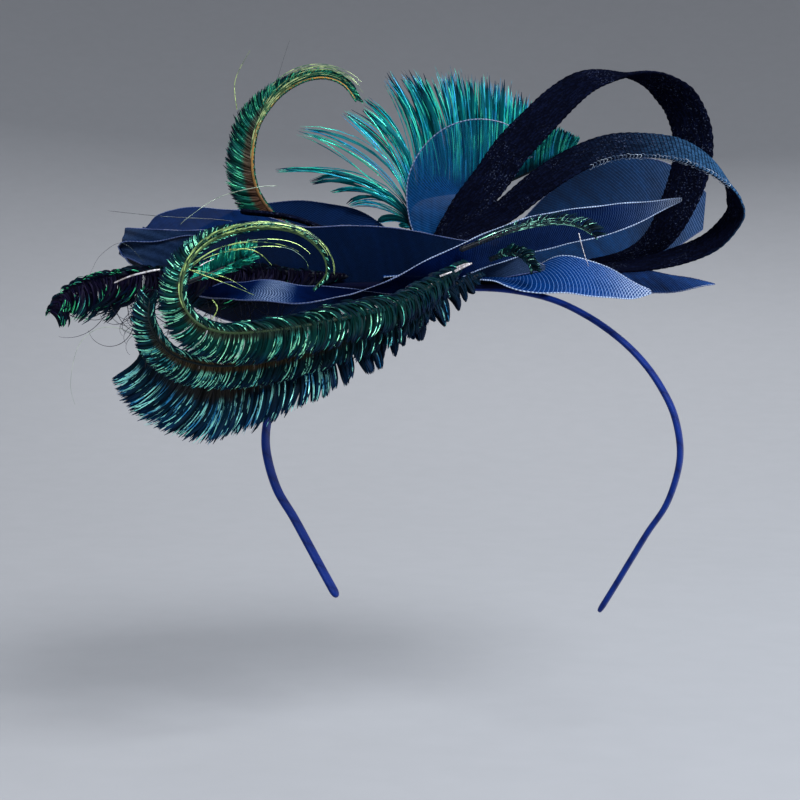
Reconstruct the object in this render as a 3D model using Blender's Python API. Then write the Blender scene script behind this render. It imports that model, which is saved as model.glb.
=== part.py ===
"""A fascinator: peacock feathers, blue crinoline and navy woven braid on a slim headband.

Metres, +Z up. The origin is the underside of the headband at the crown of the head. +X is the
wearer's left and -Y is the way the wearer faces. The trimming has a frame of its own, the empty
"trim", turned about Z on the headband. Tables are in millimetres in that frame: x runs to the
right across its front, y runs back from the front and z runs up.
"""

import math

import bmesh
import bpy
import numpy as np

MM = 0.001

# The trimming faces the wearer's left front by this much.
TRIM_TURN = math.radians(17)

BAND_WIDTH = 6.0
BAND_THICKNESS = 2.0
BAND_STATIONS = 41
# Sides of the headband's rounded section.
BAND_SIDES = 8

BASE_CENTRE = (-14.0, -8.0)
BASE_HALF_LENGTH = 44.0
BASE_HALF_DEPTH = 32.0
BASE_CROWN = 4.3
BASE_SAG = 1.6
BASE_THICKNESS = 1.6
BASE_SPOKES = 32
BASE_RINGS = 3

CRIN_THICKNESS = 1.0
CRIN_LANES = 4
BRAID_THICKNESS = 1.8
BRAID_WIDTH = 16.0

QUILL_ROOT = 1.8
QUILL_TIP = 1.2
LOCK_THICKNESS = 1.0
# Share of each pitch along a quill that a lock's root fills, and its width at its belly and tip.
LOCK_ROOT = 0.66
LOCK_BELLY = 0.8
LOCK_TIP = 0.3

# Half of the headband's inner outline, from the crown to the tip behind the ear.
BAND_OUTLINE = {
    "x": (0, 16, 31, 43.5, 54.2, 62.2, 68.3, 72.8, 75, 74.2, 70.5, 64.4, 59, 53.5, 47.7),
    "z": (0, -0.7, -3.9, -9.7, -17.1, -24.8, -33.2, -42.3, -53.1, -62.3, -73.3, -82.8, -92,
          -101.5, -111.3),
}

# Each crinoline sheet: its middle line, its width, and how far it is turned about that line.
# Unturned, a sheet lies flat from front to back.
SHEETS = {
    "crin_right_petal": {
        "x": (-30, -5, 20, 42, 62, 78, 88),
        "y": (4, 5, 6, 7, 7, 7, 7),
        "z": (5.2, 5.2, 5.1, 4.5, 3.4, 2.8, 2.6),
        "width": (20, 28, 32, 33, 27, 14, 1.5),
        "turn": (0, 0, 1, 11, 18, 18, 12),
    },
    "crin_front_petal": {
        "x": (-28, -8, 10, 22, 33, 45, 54, 60.5),
        "y": (-25, -26, -29, -34, -36, -34, -31, -29),
        "z": (5.2, 5.2, 5.2, 5.0, 5.8, 3.3, 1.0, 0),
        "width": (22, 24, 22, 20, 18, 14, 8, 1.5),
        "turn": (0, 0, 8, 28, 43, 45, 45, 40),
    },
    "crin_front_wave": {
        "x": (-86, -70, -54, -39, -27, -13, 0, 16, 30, 50, 64, 73),
        "y": (-46, -50, -51, -48.5, -48, -46.5, -42.2, -34.5, -26, -20, -15, -12),
        "z": (0.3, 0.9, -0.4, 0.7, 1.5, 6, 11.6, 17.6, 21, 24.8, 28.6, 31.4),
        "width": (12, 21, 24, 19.5, 14.5, 11.5, 12.4, 13.2, 13, 10, 4.5, 1.2),
        "turn": (16, 17, 13, 5, -16, -52, -54, -58, -60, -65, -65, -60),
    },
    "crin_left_fold": {
        "x": (-8, -40, -75, -101, -112, -114.5, -107, -91, -68, -46, -28),
        "y": (-7, -8, -8, -7, -7, -8, -9, -9, -9, -8, -8),
        "z": (6.9, 7.1, 9, 11.5, 14.5, 18.5, 22, 24, 22, 14.5, 9),
        "width": (28, 36, 38, 38, 38, 38, 38, 38, 35, 32, 30),
        "turn": (0, 0, -6, -14, -16, 0, 16, 16, 12, 4, 0),
    },
    "crin_back_left": {
        "x": (-17, -24, -40, -60, -80, -97, -106),
        "y": (17, 22, 27, 30, 29, 26, 24),
        "z": (9.4, 14, 22, 25.5, 25, 20, 16),
        "width": (16, 20, 26, 26, 22, 12, 2),
        "turn": (0, -18, -33, -35, -28, -15, -10),
    },
    "crin_back_right": {
        "x": (-12, 4, 22, 42, 60, 76, 89),
        "y": (22, 27, 36, 40, 40, 38, 36),
        "z": (6.8, 7.2, 14, 23, 29, 30, 29),
        "width": (16, 16, 26, 38, 42, 34, 14),
        "turn": (0, 0, 35, 60, 72, 76, 76),
    },
    "crin_centre_loop": {
        "x": (-5, -8, -10, -8, 0, 12, 25),
        "y": (17, 17, 17, 18, 19, 20, 21),
        "z": (9.6, 17, 27, 39, 48, 51.5, 50),
        "width": (9, 14, 20, 24, 24, 18, 4),
        "turn": (-85, -85, -85, -85, -85, -85, -85),
    },
}
SHEET_STATIONS = {
    "crin_front_wave": 36,
    "crin_left_fold": 34,
}
DEFAULT_SHEET_STATIONS = 22

# Each woven braid strap: its middle line and how far it is turned about that line.
BRAIDS = {
    "braid_back_loop": {
        "x": (-30, -20, -11, -4.5, 1.4, 9, 16, 24.5, 33, 41, 49.5, 59.5, 66.5, 72, 77, 81, 81, 77,
              70, 60, 45, 28, 12),
        "y": (1, 1, 1, 2, 2.5, 4, 5, 7, 9, 11, 12, 13, 14, 15, 16, 17, 18, 18, 18, 18, 16.5, 13.5,
              12.5),
        "z": (12, 11.8, 15.5, 22.5, 30, 39.5, 49.5, 58.5, 67, 73, 75.6, 76, 74.4, 71, 66, 56, 45,
              32.5, 19.5, 12.6, 9.6, 7.9, 7.3),
        "turn": (0, 0, 15, 35, 48, 52, 52, 50, 45, 36, 22, 0, -16, -32, -44, -52, -52, -45, -32,
                 -18, -8, 0, 0),
    },
    "braid_front_loop": {
        "x": (-76, -60, -46, -33, -22, -9, 2.4, 12, 24, 36, 47.5, 59, 71, 80.5, 86.5, 90, 90, 83.5,
              73, 59, 44, 28, 12),
        "y": (-15, -16, -17, -19, -19, -16, -15, -15, -17, -18.5, -20, -20, -20, -19.5, -18, -17,
              -15, -11, -8, -6, -6, -6, -6),
        "z": (27, 25, 20, 14.2, 12.8, 15.5, 21.5, 27, 36.6, 44.2, 48.5, 49.1, 47.5, 42.8, 37.5,
              31, 25, 17.2, 12.4, 9.1, 7.8, 7.2, 7.1),
        "turn": (0, 0, 0, 0, 0, 10, 22, 30, 34, 34, 34, 34, 32, 24, 12, -4, -14, -20, -20, -14,
                 -6, 0, 0),
    },
}
BRAID_STATIONS = 44

# Each feather: the line of its quill, the length of the locks on its outer side, and their lean
# towards its tip. Turned by 90 degrees, the locks of a quill that runs left hang down.
PLUMES = {
    "feather_tall_curl": {
        "x": (-44, -56, -66, -73, -75.5, -75, -72.5, -66, -58, -50, -43, -38.5),
        "y": (9, 13, 16, 17, 17, 17, 16, 15, 13, 12, 10, 9),
        "z": (17.2, 21.4, 25.6, 34, 43, 52, 60, 68.5, 73.5, 75, 72.5, 67),
        "lock": (0, 0, 8, 11, 11, 10.5, 9, 6.5, 5, 4.5, 4, 3),
        "lean": (30, 30, 30, 35, 35, 38, 40, 45, 50, 55, 60, 60),
        "turn": (80, 80, 80, 80, 80, 80, 80, 80, 80, 80, 80, 80),
    },
    "feather_fan": {
        "x": (0, -8, -15, -19, -19.6, -18.6, -15, -8, 1, 12, 22, 32, 41),
        "y": (25, 26, 28, 29.5, 30, 30.3, 30.7, 31.3, 32, 33, 34, 34, 34),
        "z": (8.4, 12, 17, 23, 28, 31, 33.5, 35, 36, 38, 42, 47, 52),
        "lock": (-60, -60, -60, 4, 46, 45, 43, 43, 42, 36.5, 27, 13, 4),
        "lean": (24, 24, 24, 24, 18, 20, 8, -5, 4, 17, 30, 38, 55),
        "turn": (88, 88, 88, 88, 88, 86, 86, 86, 86, 86, 86, 86, 86),
    },
    "feather_spiral": {
        "x": (-1, -11, -23, -38, -52, -65, -76, -84, -88.5, -90, -88, -82, -73, -63, -54, -47.5, -46,
              -50),
        "y": (-44.5, -54.5, -65, -72, -76, -78, -78, -78, -77, -75, -72, -69, -67, -65, -64, -64,
              -64, -64),
        "z": (9.9, 3.6, -3.1, -7, -9.8, -11.6, -12, -9.6, -4.8, 1.5, 9, 15.5, 19, 20, 18, 12.5, 6,
              1.5),
        "lock": (0, 6, 8, 9, 10, 10.5, 10, 9, 8, 7, 6, 4.5, 3, 2.5, 2, 1.6, 1.4, 1.2),
        "lean": (20, 25, 25, 25, 25, 25, 25, 20, 15, 15, 20, 30, 40, 50, 50, 50, 50, 50),
        "turn": (90, 90, 90, 90, 90, 90, 90, 90, 90, 90, 90, 90, 90, 90, 90, 90, 90, 90),
    },
    "feather_middle": {
        "x": (-6, -12, -23, -38, -51, -64, -75, -84, -92.5, -98, -101, -101),
        "y": (-45.1, -52.8, -60.5, -66, -69, -71, -72, -72, -71, -70, -68, -66),
        "z": (5.7, 0, -7.8, -14, -18, -21, -22.3, -22, -19.4, -14.5, -8.3, -2),
        "lock": (0, 6, 8, 8, 8, 8, 8, 8, 7.5, 7, 6, 5),
        "lean": (20, 25, 25, 30, 30, 30, 30, 25, 25, 25, 30, 35),
        "turn": (90, 90, 90, 90, 90, 90, 90, 90, 90, 90, 90, 90),
    },
    "feather_sweep": {
        "x": (4, -10, -23, -36, -48, -58, -71, -80, -88, -94, -99, -105),
        "y": (-40, -47.6, -55, -60, -63, -65, -66, -66, -66, -65, -64, -62),
        "z": (6.2, 0.4, -6.4, -12.9, -18.5, -22.6, -26.8, -29, -28.1, -25.6, -23.2, -19.5),
        "lock": (0, 11, 12, 12, 13, 15, 17, 18, 18, 17, 15, 11),
        "lean": (-12, -8, 0, 5, 15, 22, 28, 30, 26, 20, 12, 5),
        "turn": (94, 94, 94, 94, 94, 94, 94, 94, 94, 94, 94, 94),
    },
    "feather_left": {
        "x": (-40, -60, -80, -98, -115, -128, -135, -138.5),
        "y": (-30, -32.5, -33, -33, -32, -31, -31, -31),
        "z": (5.0, 6.6, 7.4, 6.5, 5.5, 2.6, -2, -7),
        "lock": (0, 9, 12, 13, 13, 11, 8, 5),
        "lean": (30, 30, 30, 30, 30, 25, 20, 15),
        "turn": (80, 80, 80, 80, 80, 80, 80, 80),
    },
    "feather_right_tip": {
        "x": (-4, 9, 20, 30, 37, 42),
        "y": (-48.6, -45.5, -40, -34.5, -32, -31),
        "z": (13.5, 18.5, 21.5, 22.6, 21.2, 18),
        "lock": (0, 3, 4, 5, 5, 4),
        "lean": (40, 40, 40, 45, 45, 45),
        "turn": (85, 85, 85, 85, 85, 85),
    },
    "feather_low_tip": {
        "x": (6, 11, 15.5, 18.5, 20),
        "y": (-41.1, -42.4, -44, -44, -44),
        "z": (10.5, 12.4, 12.2, 10, 7.2),
        "lock": (0, 3, 4, 4, 3),
        "lean": (40, 40, 45, 45, 45),
        "turn": (85, 85, 85, 85, 85),
    },
    "feather_inner": {
        "x": (-88.6, -84, -79, -74, -69),
        "y": (-72, -69.5, -67, -65, -64),
        "z": (3.4, 5.2, 7.4, 9.8, 12),
        "lock": (0, 4, 6, 6, 4),
        "lean": (30, 30, 30, 30, 30),
        "turn": (80, 80, 80, 80, 80),
    },
}
# How many locks each feather has, and how many steps each lock is made in.
PLUME_LOCKS = {
    "feather_tall_curl": (20, 2),
    "feather_fan": (24, 3),
    "feather_spiral": (27, 2),
    "feather_middle": (18, 2),
    "feather_sweep": (20, 3),
    "feather_left": (14, 2),
    "feather_right_tip": (8, 2),
    "feather_low_tip": (5, 2),
    "feather_inner": (6, 2),
}

# Base colour, roughness and metallic value.
FINISHES = {
    "satin_blue": ((0.02, 0.07, 0.30, 1), 0.45, 0.0),
    "base_navy": ((0.006, 0.010, 0.035, 1), 0.80, 0.0),
    "crin_blue": ((0.015, 0.06, 0.28, 1), 0.35, 0.0),
    "braid_navy": ((0.006, 0.009, 0.03, 1), 0.60, 0.0),
    "feather_green": ((0.01, 0.14, 0.12, 1), 0.40, 0.3),
}


def material(name):
    """The material of one finish, made on its first use."""
    made = bpy.data.materials.get(name)
    if made:
        return made
    colour, roughness, metallic = FINISHES[name]
    made = bpy.data.materials.new(name)
    made.use_nodes = True
    shader = made.node_tree.nodes["Principled BSDF"]
    shader.inputs["Base Color"].default_value = colour
    shader.inputs["Roughness"].default_value = roughness
    shader.inputs["Metallic"].default_value = metallic
    made.diffuse_color = colour
    return made


def add_solid(name, points, faces, finish, parent=None):
    """One closed object from points in millimetres, with every face turned outwards."""
    shape = bmesh.new()
    corners = [shape.verts.new(point) for point in np.asarray(points) * MM]
    for face in faces:
        shape.faces.new([corners[i] for i in face])
    bmesh.ops.recalc_face_normals(shape, faces=shape.faces)
    mesh = bpy.data.meshes.new(name)
    shape.to_mesh(mesh)
    shape.free()
    mesh.materials.append(material(finish))
    mesh.shade_smooth()
    mesh.set_sharp_from_angle(angle=math.radians(40))
    solid = bpy.data.objects.new(name, mesh)
    bpy.context.scene.collection.objects.link(solid)
    solid.parent = parent
    return solid


def through(values, at):
    """The smooth (Catmull-Rom) curve through evenly numbered values, read at places 0 to 1."""
    values = np.asarray(values, float)
    last = len(values) - 1
    place = np.clip(np.asarray(at, float) * last, 0, last)
    step = np.minimum(place.astype(int), last - 1)
    t = place - step
    before = values[np.maximum(step - 1, 0)]
    start = values[step]
    end = values[step + 1]
    after = values[np.minimum(step + 2, last)]
    return 0.5 * (
        2 * start
        + (end - before) * t
        + (2 * before - 5 * start + 4 * end - after) * t**2
        + (3 * start - before - 3 * end + after) * t**3
    )


def even_places(table, shares):
    """Places along a table's line that lie at these shares of its length."""
    dense = np.linspace(0, 1, 400)
    line = np.stack([through(table[axis], dense) for axis in "xyz"], axis=1)
    steps = np.linalg.norm(np.diff(line, axis=0), axis=1)
    run = np.concatenate([[0], np.cumsum(steps)])
    return np.interp(np.asarray(shares) * run[-1], run, dense)


def frames_along(table, places):
    """Points of a line, with its direction, its across and its normal turned as the table says."""
    points = np.stack([through(table[axis], places) for axis in "xyz"], axis=1)
    ahead = np.gradient(points, axis=0)
    ahead /= np.linalg.norm(ahead, axis=1, keepdims=True)
    back = np.array([0.0, 1.0, 0.0])
    across = back - (ahead @ back)[:, None] * ahead
    across /= np.linalg.norm(across, axis=1, keepdims=True)
    normal = np.cross(ahead, across)
    turn = np.radians(through(table["turn"], places))[:, None]
    turned = across * np.cos(turn) + normal * np.sin(turn)
    return points, ahead, turned, np.cross(ahead, turned)


def grid_faces(rows, columns, first=0):
    """Quads of a grid of points, numbered row by row from first."""
    return [
        (first + r * columns + c, first + r * columns + c + 1,
         first + (r + 1) * columns + c + 1, first + (r + 1) * columns + c)
        for r in range(rows - 1)
        for c in range(columns - 1)
    ]


def wall(upper, lower):
    """Points and faces of a thin wall between two matching grids of points, closed at its rim."""
    rows, columns = upper.shape[:2]
    count = rows * columns
    faces = grid_faces(rows, columns) + grid_faces(rows, columns, count)
    rim = [c for c in range(columns)]
    rim += [r * columns + columns - 1 for r in range(1, rows)]
    rim += [(rows - 1) * columns + c for c in range(columns - 2, -1, -1)]
    rim += [r * columns for r in range(rows - 2, 0, -1)]
    for here, there in zip(rim, rim[1:] + rim[:1]):
        faces.append((here, there, there + count, here + count))
    return np.concatenate([upper.reshape(-1, 3), lower.reshape(-1, 3)]), faces


def add_strip(name, table, widths, stations, lanes, thickness, finish, parent):
    """A ribbon of cloth along a table's line, as a wall of even thickness."""
    places = even_places(table, np.linspace(0, 1, stations))
    points, _, across, normal = frames_along(table, places)
    half = through(widths, places)[:, None, None] / 2
    lane = np.linspace(-1, 1, lanes + 1)[None, :, None]
    middle = points[:, None] + across[:, None] * lane * half
    offset = normal[:, None] * thickness / 2
    vertices, faces = wall(middle + offset, middle - offset)
    return add_solid(name, vertices, faces, finish, parent)


def add_headband():
    """The covered headband: a rounded flat section swept along a symmetric outline."""
    half_x, half_z = (np.array(BAND_OUTLINE[axis], float) for axis in "xz")
    table = {
        "x": np.concatenate([-half_x[:0:-1], half_x]),
        "z": np.concatenate([half_z[:0:-1], half_z]) + BAND_THICKNESS / 2,
        "y": np.zeros(2 * len(half_x) - 1),
        "turn": np.zeros(2 * len(half_x) - 1),
    }
    places = even_places(table, np.linspace(0, 1, BAND_STATIONS))
    points, _, across, normal = frames_along(table, places)
    angles = (np.arange(BAND_SIDES) + 0.5) * 2 * math.pi / BAND_SIDES
    # A superellipse: flat faces with well rounded edges.
    side = np.sign(np.cos(angles)) * np.abs(np.cos(angles)) ** 0.5 * BAND_WIDTH / 2
    rise = np.sign(np.sin(angles)) * np.abs(np.sin(angles)) ** 0.5 * BAND_THICKNESS / 2
    side *= BAND_WIDTH / 2 / np.abs(side).max()
    rise *= BAND_THICKNESS / 2 / np.abs(rise).max()
    rings = (points[:, None] + across[:, None] * side[None, :, None]
             + normal[:, None] * rise[None, :, None])
    count = BAND_SIDES
    faces = [
        (r * count + c, r * count + (c + 1) % count,
         (r + 1) * count + (c + 1) % count, (r + 1) * count + c)
        for r in range(BAND_STATIONS - 1)
        for c in range(count)
    ]
    faces.append(tuple(range(count)))
    faces.append(tuple((BAND_STATIONS - 1) * count + c for c in range(count)))
    return add_solid("headband", rings.reshape(-1, 3), faces, "satin_blue")


def base_height(share):
    """Height of the base's upper face at a share of the way from its middle to its rim."""
    return BASE_CROWN - BASE_SAG * share**2


def add_base(parent):
    """The oval base that the trimming is sewn to, a thin shallow dome."""
    angles = np.arange(BASE_SPOKES) * 2 * math.pi / BASE_SPOKES
    points = []
    for drop in (0, BASE_THICKNESS):
        points.append((*BASE_CENTRE, base_height(0) - drop))
        for ring in range(1, BASE_RINGS + 1):
            share = ring / BASE_RINGS
            points += [
                (BASE_CENTRE[0] + BASE_HALF_LENGTH * share * math.cos(angle),
                 BASE_CENTRE[1] + BASE_HALF_DEPTH * share * math.sin(angle),
                 base_height(share) - drop)
                for angle in angles
            ]
    layer = 1 + BASE_RINGS * BASE_SPOKES
    faces = []
    for first in (0, layer):
        for s in range(BASE_SPOKES):
            after = (s + 1) % BASE_SPOKES
            faces.append((first, first + 1 + s, first + 1 + after))
            for ring in range(BASE_RINGS - 1):
                inner = first + 1 + ring * BASE_SPOKES
                outer = inner + BASE_SPOKES
                faces.append((inner + s, outer + s, outer + after, inner + after))
    rim = 1 + (BASE_RINGS - 1) * BASE_SPOKES
    for s in range(BASE_SPOKES):
        after = (s + 1) % BASE_SPOKES
        faces.append((rim + s, rim + after, rim + after + layer, rim + s + layer))
    return add_solid("base", points, faces, "base_navy", parent)


def add_plume(name, table, locks, steps, parent):
    """A feather: a square quill, with flat tapering locks grown out of its outer side.

    The quill has a long step at each lock and a short one between locks. A lock's sections follow
    a straight line that leans towards the quill's tip, and its width swells and then narrows.
    """
    pitch = 1 / (locks + 1)
    starts = (np.arange(locks) + 0.5 + (1 - LOCK_ROOT) / 2) * pitch
    shares = np.sort(np.concatenate([[0, 1], starts, starts + LOCK_ROOT * pitch]))
    places = even_places(table, shares)
    points, ahead, across, normal = frames_along(table, places)
    half = (QUILL_ROOT + (QUILL_TIP - QUILL_ROOT) * shares[:, None]) / 2
    corners = [points + across * half * a + normal * half * n
               for a, n in ((1, 1), (1, -1), (-1, -1), (-1, 1))]
    vertices = list(np.stack(corners, axis=1).reshape(-1, 3))
    faces = [(0, 1, 2, 3), tuple(4 * (len(shares) - 1) + c for c in range(4))]
    for s in range(len(shares) - 1):
        near, far = 4 * s, 4 * (s + 1)
        for c in (1, 2, 3):
            after = (c + 1) % 4
            faces.append((near + c, near + after, far + after, far + c))
        length = through(table["lock"], (places[s] + places[s + 1]) / 2)
        # Only the long steps carry a lock.
        if s % 2 == 0 or length < 1:
            faces.append((near, near + 1, far + 1, far))
            continue
        lean = math.radians(through(table["lean"], (places[s] + places[s + 1]) / 2))
        middle = (points[s] + points[s + 1]) / 2 + across[s] * half[s]
        reach = (across[s] * math.cos(lean) + ahead[s] * math.sin(lean)) * length
        root_width = np.linalg.norm(points[s + 1] - points[s])
        ring = (near, near + 1, far + 1, far)
        for step in range(1, steps + 1):
            share = step / steps
            width = root_width * (LOCK_TIP if step == steps else LOCK_BELLY / LOCK_ROOT)
            thick = LOCK_THICKNESS * (1 - 0.4 * share)
            centre = middle + reach * share
            first = len(vertices)
            for a, n in ((-1, 1), (-1, -1), (1, -1), (1, 1)):
                vertices.append(centre + ahead[s] * a * width / 2 + normal[s] * n * thick / 2)
            fresh = tuple(range(first, first + 4))
            for c in range(4):
                after = (c + 1) % 4
                faces.append((ring[c], ring[after], fresh[after], fresh[c]))
            ring = fresh
        faces.append(ring)
    return add_solid(name, vertices, faces, "feather_green", parent)


def main():
    for old in list(bpy.data.objects):
        bpy.data.objects.remove(old)
    trim = bpy.data.objects.new("trim", None)
    bpy.context.scene.collection.objects.link(trim)
    trim.rotation_euler.z = TRIM_TURN
    add_headband()
    add_base(trim)
    for name, table in SHEETS.items():
        stations = SHEET_STATIONS.get(name, DEFAULT_SHEET_STATIONS)
        add_strip(name, table, table["width"], stations, CRIN_LANES, CRIN_THICKNESS,
                  "crin_blue", trim)
    for name, table in BRAIDS.items():
        widths = [BRAID_WIDTH] * len(table["x"])
        add_strip(name, table, widths, BRAID_STATIONS, 2, BRAID_THICKNESS, "braid_navy", trim)
    for name, table in PLUMES.items():
        locks, steps = PLUME_LOCKS[name]
        add_plume(name, table, locks, steps, trim)


main()
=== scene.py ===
"""Looks of a fascinator: peacock feathers, blue crinoline and navy woven braid on a slim headband.

Shapes are surfaces worked out as whole arrays. Tables are in millimetres in the trimming's own
frame, which is turned about Z on the headband: x runs to the right across its front, y runs back
from the front and z runs up. Places along a line are shares of it, from 0 to 1, and a row of
values along a line is read as the smooth curve through them.
"""

import math

import bpy
import numpy as np
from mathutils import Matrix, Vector


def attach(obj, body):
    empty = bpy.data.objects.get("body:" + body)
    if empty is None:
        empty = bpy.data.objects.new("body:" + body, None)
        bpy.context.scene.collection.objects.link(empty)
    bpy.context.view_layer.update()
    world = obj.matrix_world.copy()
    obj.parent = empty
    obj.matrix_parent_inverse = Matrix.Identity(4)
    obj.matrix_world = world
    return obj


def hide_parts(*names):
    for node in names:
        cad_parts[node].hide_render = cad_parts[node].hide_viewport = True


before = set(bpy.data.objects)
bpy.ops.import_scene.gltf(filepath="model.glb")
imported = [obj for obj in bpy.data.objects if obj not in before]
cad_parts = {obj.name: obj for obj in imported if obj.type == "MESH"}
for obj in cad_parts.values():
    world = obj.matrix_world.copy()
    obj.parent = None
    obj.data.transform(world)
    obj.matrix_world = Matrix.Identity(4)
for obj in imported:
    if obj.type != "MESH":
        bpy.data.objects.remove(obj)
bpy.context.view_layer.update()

MM = 0.001
TAU = 2 * math.pi
TRIM_TURN = math.radians(17)

BAND_WIDTH = 6.0
BAND_THICKNESS = 2.0
BAND_STATIONS = 260
BAND_SIDES = 28
# How square the band's section is across and through: 1 is an ellipse, and less is squarer. At
# its ends the thickness falls away as the width does, to this power.
BAND_SQUARE_ACROSS = 0.6
BAND_SQUARE_THROUGH = 0.8
BAND_END_POWER = 0.6

BASE_CENTRE = (-14.0, -8.0)
BASE_HALF_LENGTH = 44.0
BASE_HALF_DEPTH = 32.0
BASE_CROWN = 4.3
BASE_SAG = 1.6
BASE_THICKNESS = 1.6
BASE_SPOKES = 96
BASE_RINGS = 26
# Share of the way out where the dome's face ends and its rounded rim begins.
BASE_RIM = 0.985

SHEET_STATIONS = 170
SHEET_LANES = 33
# Pleats run out from a sheet's gathered root: their height, how tightly they follow each other
# across, how much and how fast they sway, and how far from the root they fade.
PLEAT_HEIGHT = 0.35
PLEAT_TIGHTNESS = 1.9
PLEAT_SWAY = 0.6
PLEAT_SWAY_RATE = 0.09
PLEAT_FADE = 22
# A ripple lifts the edges: its height at the edge, and how fast it goes up and down.
RIPPLE_HEIGHT = 0.22
RIPPLE_RATE = 0.35
# The thread bound along a sheet's edges: its radius, how much its twists swell, their pitch.
EDGE_RADIUS = 0.20
EDGE_SWELL = 0.04
EDGE_TWIST = 0.95

BRAID_THICKNESS = 1.8
BRAID_WIDTH = 16.0
BRAID_STATIONS = 520
BRAID_LANES = 18
RIB_PITCH = 1.3
SCALLOP_DEPTH = 0.16
PLAIT_DEPTH = 0.10

QUILL_ROOT = 1.8
QUILL_TIP = 0.5
QUILL_STATIONS = 90
BARB_STEPS = 9
STRAND_STEPS = 44
TENDRIL_STEPS = 40
STRAY_STATIONS = 30

# Barbs shorter than this don't show. Chance changes a barb's length between these shares of it.
SHORTEST_BARB = 0.6
LENGTH_SHARES = (0.4, 1.35)
# Degrees of lean that a stray barb and an uneven lock may gain, for each 1 of stray and uneven.
STRAY_LEAN = 40
UNEVEN_LEAN = 30
# Barbs of a second fringe keep this share of the first one's lean and add these degrees.
INNER_LEAN_SHARE = 0.3
INNER_LEAN = 50
# Where along the quill the last barbs begin to fan out.
TIP_FAN_FROM = 0.88
# How unlike each other the bends are, and the height and number of waves in a barb.
BEND_CHANCE = 0.3
WAVE_HEIGHT = 0.035
WAVES = 1.2
# How far bright and dark barbs lie off the feather's middle, and how many times as wide they are.
BRIGHT_RISE = 0.5
DARK_RISE = 0.1
BRIGHT_WIDTH = 0.66
DARK_WIDTH = 2.1
# How many quill radii the barbs that hug the quill start beyond it.
HUG_REACH = 1.1
# Where on a barb its leaf-like end is widest, and how far that widening reaches.
LEAF_AT = 0.82
LEAF_REACH = 0.12
# Barbules: how many for each millimetre and at least and at most on each side of a barb, half the
# width of their roots, their lean in degrees with its spread, and how unevenly they lift.
BARBULES_PER_MM = 1.2
BARBULES_LEAST = 9
BARBULES_MOST = 36
BARBULE_HALF_ROOT = 0.09
BARBULE_LEAN = (42, 10)
BARBULE_LIFT = 0.35

# How unevenly ribbons turn about their lines, and between which shares a loose one's width varies.
RIBBON_TILT = 0.5
WIDTH_SHARES = (0.7, 1.2)
# Filaments beside a quill: how soon they reach their own distance, how much they sway about it,
# and the share of their width that they lose by the tip.
STRAND_EASE = 4.5
STRAND_SWAY = 0.10
STRAND_TAPER = 0.75
# Tendrils: how much they tighten towards the tip, how many millimetres they drift off the
# feather's plane, and the share of their width that they lose by the tip.
TENDRIL_TIGHTENING = 1.7
TENDRIL_DRIFT = 2
TENDRIL_TAPER = 0.7
# Loose pieces thicker than this, in millimetres, lose the smaller share of it by the tip.
STRAY_THICK = 0.6
STRAY_TAPERS = (0.35, 0.7)

BAND_OUTLINE = {
    "x": (0, 16, 31, 43.5, 54.2, 62.2, 68.3, 72.8, 75, 74.2, 70.5, 64.4, 59, 53.5, 47.7),
    "z": (0, -0.7, -3.9, -9.7, -17.1, -24.8, -33.2, -42.3, -53.1, -62.3, -73.3, -82.8, -92,
          -101.5, -111.3),
}

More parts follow.
